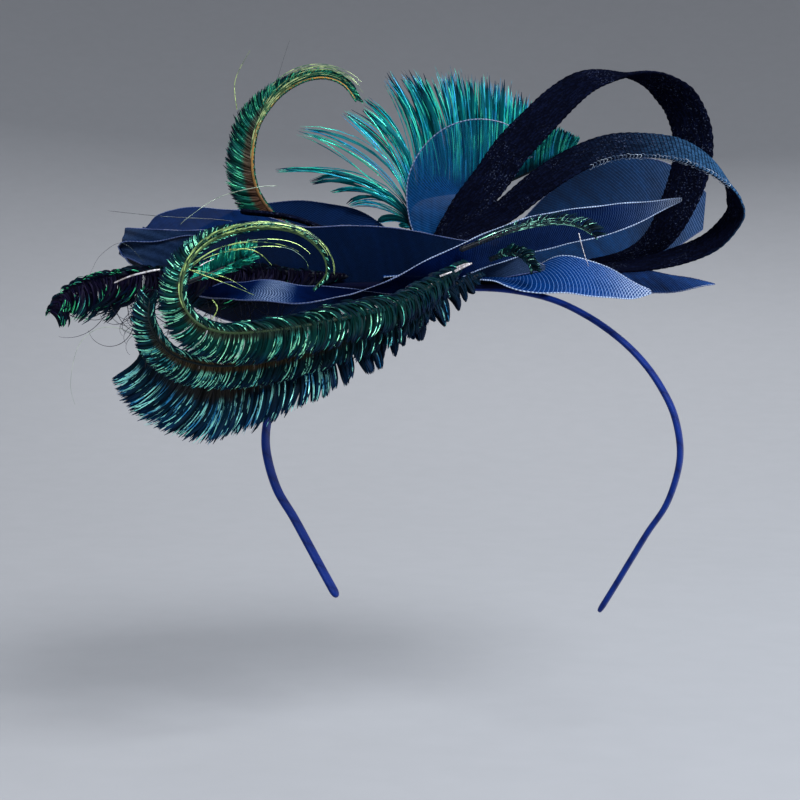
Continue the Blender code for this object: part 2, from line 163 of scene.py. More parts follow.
# Each crinoline sheet: its middle line, its width, and how far it is turned about that line.
SHEETS = {
    "crin_right_petal": {
        "x": (-30, -5, 20, 42, 62, 78, 88),
        "y": (4, 5, 6, 7, 7, 7, 7),
        "z": (5.2, 5.2, 5.1, 4.5, 3.4, 2.8, 2.6),
        "width": (20, 28, 32, 33, 27, 14, 1.5),
        "turn": (0, 0, 1, 11, 18, 18, 12),
    },
    "crin_front_petal": {
        "x": (-28, -8, 10, 22, 33, 45, 54, 60.5),
        "y": (-25, -26, -29, -34, -36, -34, -31, -29),
        "z": (5.2, 5.2, 5.2, 5.0, 5.8, 3.3, 1.0, 0),
        "width": (22, 24, 22, 20, 18, 14, 8, 1.5),
        "turn": (0, 0, 8, 28, 43, 45, 45, 40),
    },
    "crin_front_wave": {
        "x": (-86, -70, -54, -39, -27, -13, 0, 16, 30, 50, 64, 73),
        "y": (-46, -50, -51, -48.5, -48, -46.5, -42.2, -34.5, -26, -20, -15, -12),
        "z": (0.3, 0.9, -0.4, 0.7, 1.5, 6, 11.6, 17.6, 21, 24.8, 28.6, 31.4),
        "width": (12, 21, 24, 19.5, 14.5, 11.5, 12.4, 13.2, 13, 10, 4.5, 1.2),
        "turn": (16, 17, 13, 5, -16, -52, -54, -58, -60, -65, -65, -60),
    },
    "crin_left_fold": {
        "x": (-8, -40, -75, -101, -112, -114.5, -107, -91, -68, -46, -28),
        "y": (-7, -8, -8, -7, -7, -8, -9, -9, -9, -8, -8),
        "z": (6.9, 7.1, 9, 11.5, 14.5, 18.5, 22, 24, 22, 14.5, 9),
        "width": (28, 36, 38, 38, 38, 38, 38, 38, 35, 32, 30),
        "turn": (0, 0, -6, -14, -16, 0, 16, 16, 12, 4, 0),
    },
    "crin_left_fold_front": {
        "node": "crin_left_fold",
        "x": (-116, -104, -88, -70, -54, -40, -24, -8, 8, 25),
        "y": (-24, -26.5, -27.5, -28, -28, -28.5, -29, -30, -31, -31.5),
        "z": (17, 14, 8, 5.5, 6, 9.5, 10, 9.5, 9.5, 8),
        "width": (9, 14, 27, 34, 32, 25, 22, 17, 11, 1.5),
        "turn": (84, 86, 88, 90, 92, 92, 90, 88, 88, 88),
    },
    "crin_back_left": {
        "x": (-17, -24, -40, -60, -80, -97, -106),
        "y": (17, 22, 27, 30, 29, 26, 24),
        "z": (9.4, 14, 22, 25.5, 25, 20, 16),
        "width": (16, 20, 26, 26, 22, 12, 2),
        "turn": (0, -18, -33, -35, -28, -15, -10),
    },
    "crin_back_right": {
        "x": (-12, 4, 22, 42, 60, 76, 89),
        "y": (22, 27, 36, 40, 40, 38, 36),
        "z": (6.8, 7.2, 14, 23, 29, 30, 29),
        "width": (16, 16, 26, 38, 42, 34, 14),
        "turn": (0, 0, 35, 60, 72, 76, 76),
    },
    "crin_centre_loop": {
        "x": (-5, -8, -10, -8, 0, 12, 25),
        "y": (17, 17, 17, 18, 19, 20, 21),
        "z": (9.6, 17, 27, 39, 48, 51.5, 50),
        "width": (9, 14, 20, 24, 24, 18, 4),
        "turn": (-85, -85),
    },
}

# Each woven braid strap: its middle line and how far it is turned about that line.
BRAIDS = {
    "braid_back_loop": {
        "x": (-30, -20, -11, -4.5, 1.4, 9, 16, 24.5, 33, 41, 49.5, 59.5, 66.5, 72, 77, 81, 81, 77,
              70, 60, 45, 28, 12),
        "y": (1, 1, 1, 2, 2.5, 4, 5, 7, 9, 11, 12, 13, 14, 15, 16, 17, 18, 18, 18, 18, 16.5, 13.5,
              12.5),
        "z": (12, 11.8, 15.5, 22.5, 30, 39.5, 49.5, 58.5, 67, 73, 75.6, 76, 74.4, 71, 66, 56, 45,
              32.5, 19.5, 12.6, 9.6, 7.9, 7.3),
        "turn": (0, 0, 15, 35, 48, 52, 52, 50, 45, 36, 22, 0, -16, -32, -44, -52, -52, -45, -32,
                 -18, -8, 0, 0),
    },
    "braid_front_loop": {
        "x": (-76, -60, -46, -33, -22, -9, 2.4, 12, 24, 36, 47.5, 59, 71, 80.5, 86.5, 90, 90, 83.5,
              73, 59, 44, 28, 12),
        "y": (-15, -16, -17, -19, -19, -16, -15, -15, -17, -18.5, -20, -20, -20, -19.5, -18, -17,
              -15, -11, -8, -6, -6, -6, -6),
        "z": (27, 25, 20, 14.2, 12.8, 15.5, 21.5, 27, 36.6, 44.2, 48.5, 49.1, 47.5, 42.8, 37.5,
              31, 25, 17.2, 12.4, 9.1, 7.8, 7.2, 7.1),
        "turn": (0, 0, 0, 0, 0, 10, 22, 30, 34, 34, 34, 34, 32, 24, 12, -4, -14, -20, -20, -14,
                 -6, 0, 0),
    },
}

# A painted highlight on each strap's outer face: how pale its ribs are painted, from its start
# to its end.
BRAID_PAINTED_LIGHT = {
    "braid_back_loop": (0, 0),
    "braid_front_loop": (0, 0, 0, 0, 0, 0, 0, 0, 0.02, 0.08, 0.4, 0.6, 0.3, 0, 0, 0, 0, 0),
}

# The pale looped thread on the front strap's edge: from where to where on the strap, its loops'
# pitch, its thickness, which edge it is on, how far inside that edge it runs, and how far it
# swings across the strap, rises off it and leans along it.
SELVAGE = {"reach": (0.46, 0.65), "pitch": 1.3, "thick": 0.15, "side": -1, "inset": 0.3,
           "swing": 0.45, "rise": 0.85, "lean": 0.4}

# Each feather: the line of its quill, the length of its barbs on its outer side, and their lean
# towards its tip. Turned by 90 degrees, the barbs of a quill that runs left hang down.
PLUMES = {
    "feather_tall_curl": {
        "x": (-44, -56, -66, -73, -75.5, -75, -72.5, -66, -58, -50, -43, -38.5),
        "y": (9, 13, 16, 17, 17, 17, 16, 15, 13, 12, 10, 9),
        "z": (17.2, 21.4, 25.6, 34, 43, 52, 60, 68.5, 73.5, 75, 72.5, 67),
        "lock": (0, 0, 8, 11, 11, 10.5, 9, 6.5, 5, 4.5, 4, 3),
        "lean": (30, 30, 30, 35, 35, 38, 40, 45, 50, 55, 60, 60),
        "turn": (80, 80),
    },
    "feather_fan": {
        "x": (0, -8, -15, -19, -19.6, -18.6, -15, -8, 1, 12, 22, 32, 41),
        "y": (25, 26, 28, 29.5, 30, 30.3, 30.7, 31.3, 32, 33, 34, 34, 34),
        "z": (8.4, 12, 17, 23, 28, 31, 33.5, 35, 36, 38, 42, 47, 52),
        "lock": (-60, -60, -60, 4, 46, 45, 43, 43, 42, 36.5, 27, 13, 4),
        "lean": (24, 24, 24, 24, 18, 20, 8, -5, 4, 17, 30, 38, 55),
        "turn": (88, 88, 88, 88, 88, 86, 86, 86, 86, 86, 86, 86, 86),
    },
    "feather_spiral": {
        "x": (-1, -11, -23, -38, -52, -65, -76, -84, -88.5, -90, -88, -82, -73, -63, -54, -47.5, -46,
              -50),
        "y": (-44.5, -54.5, -65, -72, -76, -78, -78, -78, -77, -75, -72, -69, -67, -65, -64, -64,
              -64, -64),
        "z": (9.9, 3.6, -3.1, -7, -9.8, -11.6, -12, -9.6, -4.8, 1.5, 9, 15.5, 19, 20, 18, 12.5, 6,
              1.5),
        "lock": (0, 6, 8, 9, 10, 10.5, 10, 9, 8, 7, 6, 4.5, 3, 2.5, 2, 1.6, 1.4, 1.2),
        "lean": (20, 25, 25, 25, 25, 25, 25, 20, 15, 15, 20, 30, 40, 50, 50, 50, 50, 50),
        "turn": (90, 90),
    },
    "feather_middle": {
        "x": (-6, -12, -23, -38, -51, -64, -75, -84, -92.5, -98, -101, -101),
        "y": (-45.1, -52.8, -60.5, -66, -69, -71, -72, -72, -71, -70, -68, -66),
        "z": (5.7, 0, -7.8, -14, -18, -21, -22.3, -22, -19.4, -14.5, -8.3, -2),
        "lock": (0, 6, 8, 8, 8, 8, 8, 8, 7.5, 7, 6, 5),
        "lean": (20, 25, 25, 30, 30, 30, 30, 25, 25, 25, 30, 35),
        "turn": (90, 90),
    },
    "feather_sweep": {
        "x": (4, -10, -23, -36, -48, -58, -71, -80, -88, -94, -99, -105),
        "y": (-40, -47.6, -55, -60, -63, -65, -66, -66, -66, -65, -64, -62),
        "z": (6.2, 0.4, -6.4, -12.9, -18.5, -22.6, -26.8, -29, -28.1, -25.6, -23.2, -19.5),
        "lock": (0, 11, 12, 12, 13, 15, 17, 18, 18, 17, 15, 11),
        "lean": (-12, -8, 0, 5, 15, 22, 28, 30, 26, 20, 12, 5),
        "turn": (94, 94),
    },
    "feather_left": {
        "x": (-40, -60, -80, -98, -115, -128, -135, -138.5),
        "y": (-30, -32.5, -33, -33, -32, -31, -31, -31),
        "z": (5.0, 6.6, 7.4, 6.5, 5.5, 2.6, -2, -7),
        "lock": (0, 9, 12, 13, 13, 11, 8, 5),
        "lean": (30, 30, 30, 30, 30, 25, 20, 15),
        "turn": (80, 80),
    },
    "feather_right_tip": {
        "x": (-4, 9, 20, 30, 37, 42),
        "y": (-48.6, -45.5, -40, -34.5, -32, -31),
        "z": (13.5, 18.5, 21.5, 22.6, 21.2, 18),
        "lock": (0, 3, 4, 5, 5, 4),
        "lean": (40, 40, 40, 45, 45, 45),
        "turn": (85, 85),
    },
    "feather_low_tip": {
        "x": (6, 11, 15.5, 18.5, 20),
        "y": (-41.1, -42.4, -44, -44, -44),
        "z": (10.5, 12.4, 12.2, 10, 7.2),
        "lock": (0, 3, 4, 4, 3),
        "lean": (40, 40, 45, 45, 45),
        "turn": (85, 85),
    },
    "feather_inner": {
        "x": (-88.6, -84, -79, -74, -69),
        "y": (-72, -69.5, -67, -65, -64),
        "z": (3.4, 5.2, 7.4, 9.8, 12),
        "lock": (0, 4, 6, 6, 4),
        "lean": (30, 30),
        "turn": (80, 80),
    },
}

# How each sheet's threads lie and show. The pitch of its threads is in millimetres, slant and bow
# bend them across the sheet, and full is the share of the pitch that a thread takes. Cover is how
# much the gaps between threads hide, and veil how much its threads hide where the gaps are clear.
# Lit is how pale the threads are painted, a painted highlight, edge how strong the bound edge's
# painted glints are, and the painted light value how much paler the threads get, a painted
# highlight: where it is below 0 the sheet is that share darker, a painted shade. Cover, edge and
# the painted light value run from the sheet's root to its tip. Moire is how strongly soft bands
# shade the cloth.
CRIN_USUAL = {"moire": 0.6, "veil": 0.6, "pitch": 1.0, "slant": 0.6, "bow": 0.0, "full": 0.34,
              "lit": 0.05, "edge": (0.1, 0.1), "sheen": (0, 0)}
CRIN_LOOKS = {
    "crin_right_petal": {
        "moire": 1.2, "slant": 0.3, "bow": 0.01, "full": 0.36, "cover": (0.985, 0.985), "lit": 0.1,
        "edge": (0.25, 0.25), "sheen": (0, 0, 0, 0.05, 0.1), "cloth": (8, 52, 116)},
    "crin_front_petal": {
        "moire": 0.3, "pitch": 1.25, "slant": 0.5, "bow": 0.04, "full": 0.15, "cover": (1, 0.99),
        "lit": 0.6, "edge": (1, 1), "sheen": (-0.2, -0.3, -0.2, 0, 0.2, 1),
        "cloth": (7, 44, 100)},
    "crin_front_wave": {
        "pitch": 0.9, "slant": 0.35, "bow": 0.05, "full": 0.28, "cover": (0.99, 0.99),
        "edge": (0.1, 0.15, 0.2, 0.3, 0.8, 1, 1, 1, 1),
        "sheen": (-0.7, -0.3, 0.45, -0.3, -0.65, -0.6, -0.4, -0.1, 0.02, 0.05, 0.05, 0.05, 0.05,
                  0.1, 0.3, 0.9),
        "cloth": (4, 20, 60)},
    "crin_left_fold": {
        "moire": 0.7, "cover": (0.97, 0.97, 0.93), "lit": 0.06, "edge": (0.2, 0.2),
        "cloth": (4, 25, 66)},
    "crin_left_fold_front": {
        "moire": 0.8, "pitch": 0.45, "slant": 0.7, "cover": (0.98, 1, 1),
        "sheen": (0.12, 0.05, 0, 0, 0, 0, 0.05, 0.2), "cloth": (1, 11, 38)},
    "crin_back_left": {"cover": (1, 1), "cloth": (4, 19, 50)},
    "crin_back_right": {
        "moire": 0.8, "cover": (0.985, 0.975, 0.94), "lit": 0.06, "edge": (0.15, 0.15),
        "sheen": (0, 0, 0, 0.15), "cloth": (3, 38, 76)},
    "crin_centre_loop": {
        "moire": 0.5, "veil": 0.3, "pitch": 0.8, "slant": 0.5,
        "cover": (1, 1, 0.97, 0.8, 0.38, 0.1, 0.05, 0.3), "lit": 0.1, "edge": (0.5, 0.5),
        "cloth": (5, 52, 98)},
}

# How each feather's barbs grow. Count is how many there are and width their width. Bend is how
# far they turn towards the tip, and spread how far they fan out of the feather's plane, both in
# degrees. They gather into locks, as strongly as gather says. Stray is how unlike each other the
# barbs are, and uneven how unlike the locks. Barbule is the length of the barbules, hug how far
# barbs lie over the quill, tip_fan how many degrees more the last ones lean, and inner the length
# of a second fringe on the quill's other side. Brown is how much of the root colour shows, rooty
# the share of a barb that keeps it, tip_from where the tip's colour begins, dark the share of the
# barbs that are dark, leaf how leaf-like their ends are, and glint how strongly they glint: the
# glints are painted highlights, and where they are weak the barbs' colour is darker too. Values
# in brackets run along the quill.
BARBS_USUAL = {"bend": (50, 50), "stray": 0.15, "gather": (0.3, 0.3), "hug": (0, 0), "tip_fan": 0,
               "inner": (0, 0), "uneven": (0.1, 0.1), "brown": (1, 1), "tip_from": 0.5,
               "rooty": 0.1, "dark": 0.5, "leaf": 0.0, "glint": (1, 1)}
BARBS = {
    "feather_tall_curl": {
        "count": 1600, "width": 0.32, "bend": (40, 40), "spread": (9, 9), "stray": 0.04,
        "locks": 130, "gather": (0.2, 0.2), "barbule": 0.4, "inner": (0, 1.5, 1.5, 1, 1, 1),
        "uneven": (0.03, 0.03), "brown": (1, 1, 0.7, 0, 0), "rooty": 0.24},
    "feather_fan": {
        "count": 1100, "width": 0.46, "bend": (-60, -60, -60, -25, 0, 10, 30), "spread": (5, 5),
        "stray": 0.05, "locks": 88, "gather": (0.92, 0.92, 0.75, 0.2, 0.06, 0.06, 0.06),
        "barbule": 0.6, "uneven": (0.12, 0.1, 0.05, 0.03, 0.03), "tip_from": 0.78, "rooty": 0.05,
        "dark": 0.22, "leaf": 0.7, "glint": (0.55, 0.6, 0.9, 1, 1)},
    "feather_spiral": {
        "count": 1300, "width": 0.42, "bend": (58, 58), "spread": (13, 11, 5, 5, 5),
        "stray": 0.07, "locks": 120, "gather": (0.3, 0.2), "barbule": 0.14,
        "hug": (1, 1, 0.8, 0.4, 0, 0), "inner": (3.5, 7, 8.5, 7, 5.5, 2.5, 1.5, 0, 0),
        "uneven": (0.2, 0.15, 0.04, 0.03, 0.03), "brown": (0, 0, 0, 0.5, 0.8, 0.6, 0.3, 0),
        "rooty": 0.12, "dark": 0.6, "glint": (0.08, 0.14, 0.5, 1, 1, 0.9, 0.7)},
    "feather_middle": {
        "count": 1100, "width": 0.42, "spread": (12, 10, 6, 5, 5), "stray": 0.06, "locks": 90,
        "gather": (0.5, 0.3, 0.2), "barbule": 0.14, "hug": (1, 1, 0.5, 0, 0), "tip_fan": 15,
        "inner": (2.5, 3, 3.5, 4.5, 5.5, 4.5), "uneven": (0.3, 0.2, 0.08, 0.04, 0.04),
        "brown": (0, 0, 0.3, 1, 0.8, 0), "rooty": 0.16, "glint": (0.08, 0.12, 0.4, 1, 0.7)},
    "feather_sweep": {
        "count": 1500, "width": 0.45, "bend": (20, 35, 50), "spread": (13, 12, 8, 5, 5),
        "stray": 0.06, "locks": 46, "gather": (0.9, 0.75, 0.2, 0.15), "barbule": 0.15,
        "hug": (1, 1, 0.5, 0, 0), "tip_fan": 12, "inner": (2.5, 3, 3.5, 3.5, 3, 3),
        "uneven": (0.45, 0.35, 0.2, 0.06, 0.02, 0.02), "brown": (0, 0, 0, 0.5, 1, 0.6, 0),
        "rooty": 0.16, "leaf": 0.3, "glint": (0.03, 0.05, 0.22, 0.8, 1, 1)},
    "feather_left": {
        "count": 1000, "width": 0.40, "bend": (90, 90), "spread": (22, 22), "stray": 0.16,
        "locks": 60, "gather": (0.3, 0.3, 0.5), "barbule": 0.3, "hug": (1, 1), "tip_fan": 30,
        "inner": (0, 3, 4, 4, 4, 3), "uneven": (0.1, 0.2, 0.25), "rooty": 0.3, "dark": 0.6,
        "glint": (0.05, 0.1, 0.3, 0.6, 1)},
    "feather_right_tip": {
        "count": 220, "width": 0.2, "spread": (20, 20), "locks": 24, "barbule": 0.25,
        "hug": (1, 1), "inner": (0.8, 1, 1.2, 1.2, 1), "brown": (0, 0), "dark": 0.7,
        "glint": (0.45, 0.55)},
    "feather_low_tip": {
        "count": 160, "width": 0.24, "spread": (20, 20), "locks": 10, "barbule": 0.25,
        "hug": (1, 1), "inner": (1.5, 2, 2, 2, 2), "brown": (0, 0), "dark": 0.7,
        "glint": (0.5, 0.5)},
    "feather_inner": {
        "count": 360, "width": 0.45, "bend": (20, 20), "spread": (30, 30), "stray": 0.2,
        "locks": 30, "barbule": 0.5, "inner": (0, 3, 4, 3), "dark": 0.4},
}

# Long filaments that run beside a quill: where they start and end along it, how many, how far
# off it they get, outwards and towards the viewer, and their width.
STRANDS = {
    "feather_tall_curl": (
        {"start": 0.55, "end": 1.0, "count": 16, "off": (0.5, 5.5), "lift": (-1.5, 2.0),
         "width": 0.36},
        {"start": 0.42, "end": 0.85, "count": 5, "off": (-0.5, 1.5), "lift": (0.5, 1.5),
         "width": 0.34},
    ),
    "feather_spiral": (
        {"start": 0.50, "end": 1.0, "count": 5, "off": (0.2, 2.8), "lift": (0, 2.5),
         "width": 0.36},
        {"start": 0.58, "end": 0.96, "count": 3, "off": (-6.5, -2.5), "lift": (-1.0, 2.0),
         "width": 0.30},
    ),
    "feather_right_tip": (
        {"start": 0.0, "end": 1.0, "count": 5, "off": (-0.8, 1.8), "lift": (0.2, 1.4),
         "width": 0.22},
    ),
}

# Loose barbs that hang from a feather and curl: how many, where they start along the quill, how
# long they are, which way they leave in degrees from the fringe towards the tip, how far they
# turn in all, and their width.
TENDRILS = {
    "feather_left": {"count": 44, "reach": (0.25, 0.8), "length": (22, 40), "leave": (-40, 40),
                     "turn": (50, 220), "width": 0.28},
    "feather_middle": {"count": 16, "reach": (0.8, 1.0), "length": (8, 15), "leave": (0, 60),
                       "turn": (60, 200), "width": 0.26},
}

# Loose hairs, threads and cut quill ends, and one pale tube that is a painted highlight: their
# lines, their thickness and their finish.
STRAYS = {
    "curl_hair_back": {"x": (-80.9, -81.5, -76.1), "y": (16, 17, 16), "z": (64.1, 74.6, 85.1),
                       "thick": 0.3, "finish": "gold"},
    "curl_hair_front": {"x": (-67.1, -64.6, -61.8), "y": (14, 13, 12), "z": (72, 80, 88.2),
                        "thick": 0.14, "finish": "dark"},
    "left_hair_long": {"x": (-100, -112, -119.8, -124.9, -127.3, -126.1),
                       "y": (-61, -60, -60, -60, -59, -58),
                       "z": (-16, -11, -12, -17.7, -28.7, -35.7), "thick": 0.18,
                       "finish": "pale"},
    "left_hair_arc": {"x": (-66, -73.1, -84.7, -93.4, -99.4, -101.6), "y": (10, 4, -4, -9, -12, -14),
                      "z": (37, 36.2, 32.7, 26.9, 20.6, 10), "thick": 0.28, "finish": "pale"},
    "left_hair_straight": {"x": (-70, -85.7, -104.5, -122.2), "y": (-6, -8, -12, -15),
                           "z": (22.5, 24.6, 25.6, 27.4), "thick": 0.35, "finish": "dark"},
    "left_hair_low": {"x": (-108, -115.0, -121.7, -125.1, -127.8), "y": (-28, -29, -30, -30, -31),
                      "z": (10, 16.2, 12.6, 7.3, 0.0), "thick": 0.14, "finish": "dark"},
    "left_quill_end": {"x": (-101.7, -104.9, -111.2, -116.8), "y": (-35.3, -36.2, -36.8, -36.5),
                       "z": (7.4, 6.9, 5.3, 3.0), "thick": 0.75, "finish": "horn"},
    "inner_hair_low": {"x": (-80.2, -78.7, -81.4, -86), "y": (-78, -78, -77, -76),
                       "z": (-1.9, -4.7, -8.6, -10), "thick": 0.4, "finish": "gold"},
    "inner_hair_top": {"x": (-76, -70.2, -66.2, -62.8), "y": (-70, -70, -69, -68),
                       "z": (13.4, 13.6, 12.1, 8.7), "thick": 0.45, "finish": "gold"},
    "inner_hair_mid": {"x": (-88, -86.2, -75.5, -68.0), "y": (-74, -74, -72, -70),
                       "z": (7.5, 6.7, 2.6, -0.6), "thick": 0.35, "finish": "gold"},
    "inner_hair_mid_b": {"x": (-87, -84.0, -76, -70.0), "y": (-75, -74, -73, -72),
                         "z": (7.0, 6.7, 4.6, 1.0), "thick": 0.3, "finish": "gold"},
    # inner_glint is that pale tube: a small painted highlight.
    "inner_glint": {"x": (-84.3, -82.2, -80.0), "y": (-75, -74, -73), "z": (8.4, 9.6, 10.5),
                    "thick": 0.4, "finish": "horn"},
    "thread_stitch": {"x": (35.6, 37.0, 38.7), "y": (-35, -36, -37.5), "z": (19.5, 13.8, 8.4),
                      "thick": 0.3, "finish": "horn"},
    "stub_long": {"x": (-5.7, -3.0, -0.1), "y": (-54, -54, -53.5), "z": (6.7, 8.1, 9.4),
                  "thick": 0.9, "finish": "horn"},
    "stub_left": {"x": (-17.5, -15.1, -12.9), "y": (-58, -57.5, -57), "z": (1.0, 1.8, 2.9),
                  "thick": 0.8, "finish": "horn"},
    "stub_low": {"x": (-20.2, -18.3, -16.4), "y": (-60, -59.5, -59), "z": (-3.2, -2.2, -1.2),
                 "thick": 0.8, "finish": "horn"},
    "stub_mid": {"x": (-10.4, -8.5, -6.5), "y": (-55, -55, -54.5), "z": (5.2, 5.9, 6.6),
                 "thick": 0.7, "finish": "horn"},
    "stub_top": {"x": (-5.0, -3.0, -1.0), "y": (-53, -53, -53), "z": (7.9, 8.8, 9.3),
                 "thick": 0.7, "finish": "horn"},
}

# Colours of the barbs from their roots to their tips, and the two colours of their glints,
# which are painted highlights.
BARB_COLOURS = {
    "feather_tall_curl": {"root": (92, 62, 46), "body": (4, 92, 80), "tip": (2, 22, 40),
                          "glint": (70, 205, 150), "glint_b": (20, 130, 120)},
    "feather_fan": {"root": (4, 60, 80), "body": (2, 146, 158), "tip": (4, 66, 96),
                    "glint": (50, 225, 190), "glint_b": (20, 165, 220)},
    "feather_spiral": {"root": (54, 56, 38), "body": (0, 54, 50), "tip": (0, 30, 52),
                       "glint": (150, 248, 200), "glint_b": (56, 170, 150)},
    "feather_middle": {"root": (74, 62, 40), "body": (0, 46, 54), "tip": (0, 34, 58),
                       "glint": (140, 240, 205), "glint_b": (46, 150, 160)},
    "feather_sweep": {"root": (58, 52, 42), "body": (0, 38, 56), "tip": (0, 40, 72),
                      "glint": (150, 240, 228), "glint_b": (30, 130, 185)},
    "feather_left": {"root": (16, 10, 36), "body": (8, 8, 34), "tip": (0, 40, 52),
                     "glint": (60, 215, 140), "glint_b": (8, 104, 110)},
    "feather_right_tip": {"root": (4, 20, 34), "body": (0, 26, 36), "tip": (0, 40, 44),
                          "glint": (165, 240, 215), "glint_b": (30, 150, 130)},
    "feather_low_tip": {"root": (4, 24, 36), "body": (0, 30, 40), "tip": (4, 50, 54),
                        "glint": (170, 240, 215), "glint_b": (30, 150, 130)},
    "feather_inner": {"root": (6, 80, 86), "body": (0, 120, 112), "tip": (6, 130, 104),
                      "glint": (90, 245, 190), "glint_b": (20, 190, 170)},
}

# What the materials are coloured with, in 0 to 255 display values. The thread colours, the
# edge's dot colour and the braid's pale rib colour are the colours of painted highlights.
SHADES = {
    "thread_soft": (110, 160, 225), "thread_low": (100, 150, 220), "thread_high": (220, 232, 250),
    "thread_cross": (24, 76, 165), "edge": (8, 38, 100), "edge_painted_glint": (190, 212, 245),
    "braid_dark": (7, 9, 22), "braid_light": (12, 17, 38), "braid_painted_highlight": (64, 112, 158),
    "braid_fleck": (88, 98, 128), "satin_dark": (4, 22, 80), "satin_light": (8, 40, 118),
    "felt": (6, 10, 36), "barb_turned": (6, 40, 120), "floor": (168, 168, 172),
}

# Each quill's colour at its root and at its tip.
QUILL_SHADES = {
    "dark": ((12, 16, 26), (20, 32, 36)),
    "feather_tall_curl": ((70, 46, 40), (196, 148, 76)),
    "feather_spiral": ((24, 30, 30), (60, 84, 50)),
}

# The ground colour of each kind of filament, and that of its dashes, which are painted
# highlights.
FILAMENT_SHADES = {
    "feather_tall_curl": ((60, 110, 70), (200, 220, 150)),
    "feather_spiral": ((20, 70, 50), (200, 235, 140)),
    "feather_right_tip": ((8, 60, 60), (165, 240, 210)),
    "tendril": ((9, 8, 22), (34, 40, 62)),
    "selvage": ((70, 96, 130), (196, 210, 228)),
    "dark": ((24, 34, 40), (50, 66, 66)),
    "pale": ((120, 140, 120), (190, 205, 180)),
    "gold": ((90, 120, 60), (190, 215, 120)),
    "horn": ((170, 160, 160), (235, 230, 235)),
}

# The floor, in metres: where it starts to rise, its rim, its level and how high its rim is.
FLOOR_FLAT = 0.5
FLOOR_RIM = 4.0
FLOOR_LEVEL = -0.16
FLOOR_RISE = 2.6
FLOOR_SIDES = 96

# Soft square lights, in metres and watts. Each faces the part's origin.
LIGHTS = {
    "key": {"place": (0.75, -0.75, 1.0), "size": 0.6, "power": 22.0, "tint": (0.93, 0.97, 1.0)},
    "fill": {"place": (-1.1, -0.9, 0.5), "size": 1.0, "power": 5.0, "tint": (0.95, 0.97, 1.0)},
    "rim": {"place": (-0.2, 1.1, 0.9), "size": 0.8, "power": 9.0, "tint": (0.95, 0.98, 1.0)},
    "side": {"place": (1.1, 0.25, 0.45), "size": 0.5, "power": 7.0, "tint": (0.72, 0.86, 1.0)},
}
SURROUND = (0.62, 0.66, 0.72, 1)
SURROUND_STRENGTH = 0.42

# The camera, in degrees, metres and millimetres of lens.
CAMERA_AZIMUTH = 17
CAMERA_ELEVATION = 4
CAMERA_DISTANCE = 0.622
CAMERA_AIM = (-0.0220, -0.00672, -0.038)
CAMERA_LENS = 79.97


# Lines and meshes


def through(values, at):
    """The smooth (Catmull-Rom) curve through evenly numbered values, read at places 0 to 1."""
    values = np.asarray(values, float)
    last = len(values) - 1
    place = np.clip(np.asarray(at, float) * last, 0, last)
    step = np.minimum(place.astype(int), last - 1)
    t = place - step
    before = values[np.maximum(step - 1, 0)]
    start = values[step]
    end = values[step + 1]
    after = values[np.minimum(step + 2, last)]
    return 0.5 * (
        2 * start
        + (end - before) * t
        + (2 * before - 5 * start + 4 * end - after) * t**2
        + (3 * start - before - 3 * end + after) * t**3
    )


def line_at(table, places):
    """Points of a table's line at these places."""
    return np.stack([through(table[axis], places) for axis in "xyz"], axis=-1)


def unit(vectors):
    """Vectors of length one in the same directions."""
    return vectors / np.maximum(np.linalg.norm(vectors, axis=-1, keepdims=True), 1e-9)


def line_length(table):
    """Length of a table's line in millimetres, and its places 0 to 1 with the run up to each."""
    dense = np.linspace(0, 1, 600)
    steps = np.linalg.norm(np.diff(line_at(table, dense), axis=0), axis=1)
    run = np.concatenate([[0], np.cumsum(steps)])
    return run[-1], dense, run


def even_places(table, shares):
    """Places along a table's line that lie at these shares of its length."""
    length, dense, run = line_length(table)
    return np.interp(np.asarray(shares) * length, run, dense)


def frames_at(table, places):
    """Points of a line, with its direction, its across and its normal turned as the table says.

    Across starts level from front to back, square to the line, and turns about the line.
    """
    step = 1e-3
    ahead = unit(line_at(table, places + step) - line_at(table, places - step))
    back = np.array([0.0, 1.0, 0.0])
    across = unit(back - (ahead @ back)[..., None] * ahead)
    normal = np.cross(ahead, across)
    turn = np.radians(through(table["turn"], places))[..., None]
    turned = across * np.cos(turn) + normal * np.sin(turn)
    return line_at(table, places), ahead, turned, np.cross(ahead, turned)


def stations_along(table, count):
    """Evenly spaced stations: the run up to each in millimetres, their places and their frames."""
    length = line_length(table)[0]
    run = np.linspace(0, length, count)
    places = even_places(table, run / length)
    return run, places, frames_at(table, places)


def in_metres(points, turned):
    """Points in millimetres as metres in the part's frame, turned about Z with the trimming."""
    points = np.asarray(points, float).reshape(-1, 3) * MM
    if turned:
        cos, sin = math.cos(TRIM_TURN), math.sin(TRIM_TURN)
        points = points @ np.array([[cos, sin, 0], [-sin, cos, 0], [0, 0, 1]])
    return points


def circle(count):
    """The angles of this many evenly spaced spokes."""
    return np.arange(count) * 2 * math.pi / count


def grid(rows, columns, wrap=False):
    """Quads of a grid of points numbered row by row. Wrapped, the last column meets the first."""
    index = np.arange(rows * columns).reshape(rows, columns)
    if wrap:
        index = np.concatenate([index, index[:, :1]], axis=1)
    quads = np.stack([index[:-1, :-1], index[:-1, 1:], index[1:, 1:], index[1:, :-1]], axis=-1)
    return quads.reshape(-1, 4)


def grids(count, rows, columns, wrap=False):
    """Quads of several grids of one size, whose points follow each other."""
    first = np.arange(count) * rows * columns
    return (grid(rows, columns, wrap)[None] + first[:, None, None]).reshape(-1, 4)


def spread(values, shape):
    """Values of the first axes, repeated over the others to fill a shape."""
    values = np.asarray(values)
    return np.broadcast_to(values.reshape(values.shape + (1,) * (len(shape) - values.ndim)), shape)


def make_part(points, faces, **values):
    """Points in millimetres, groups of faces, and named values for each point."""
    return {"points": points, "faces": faces, "values": values}


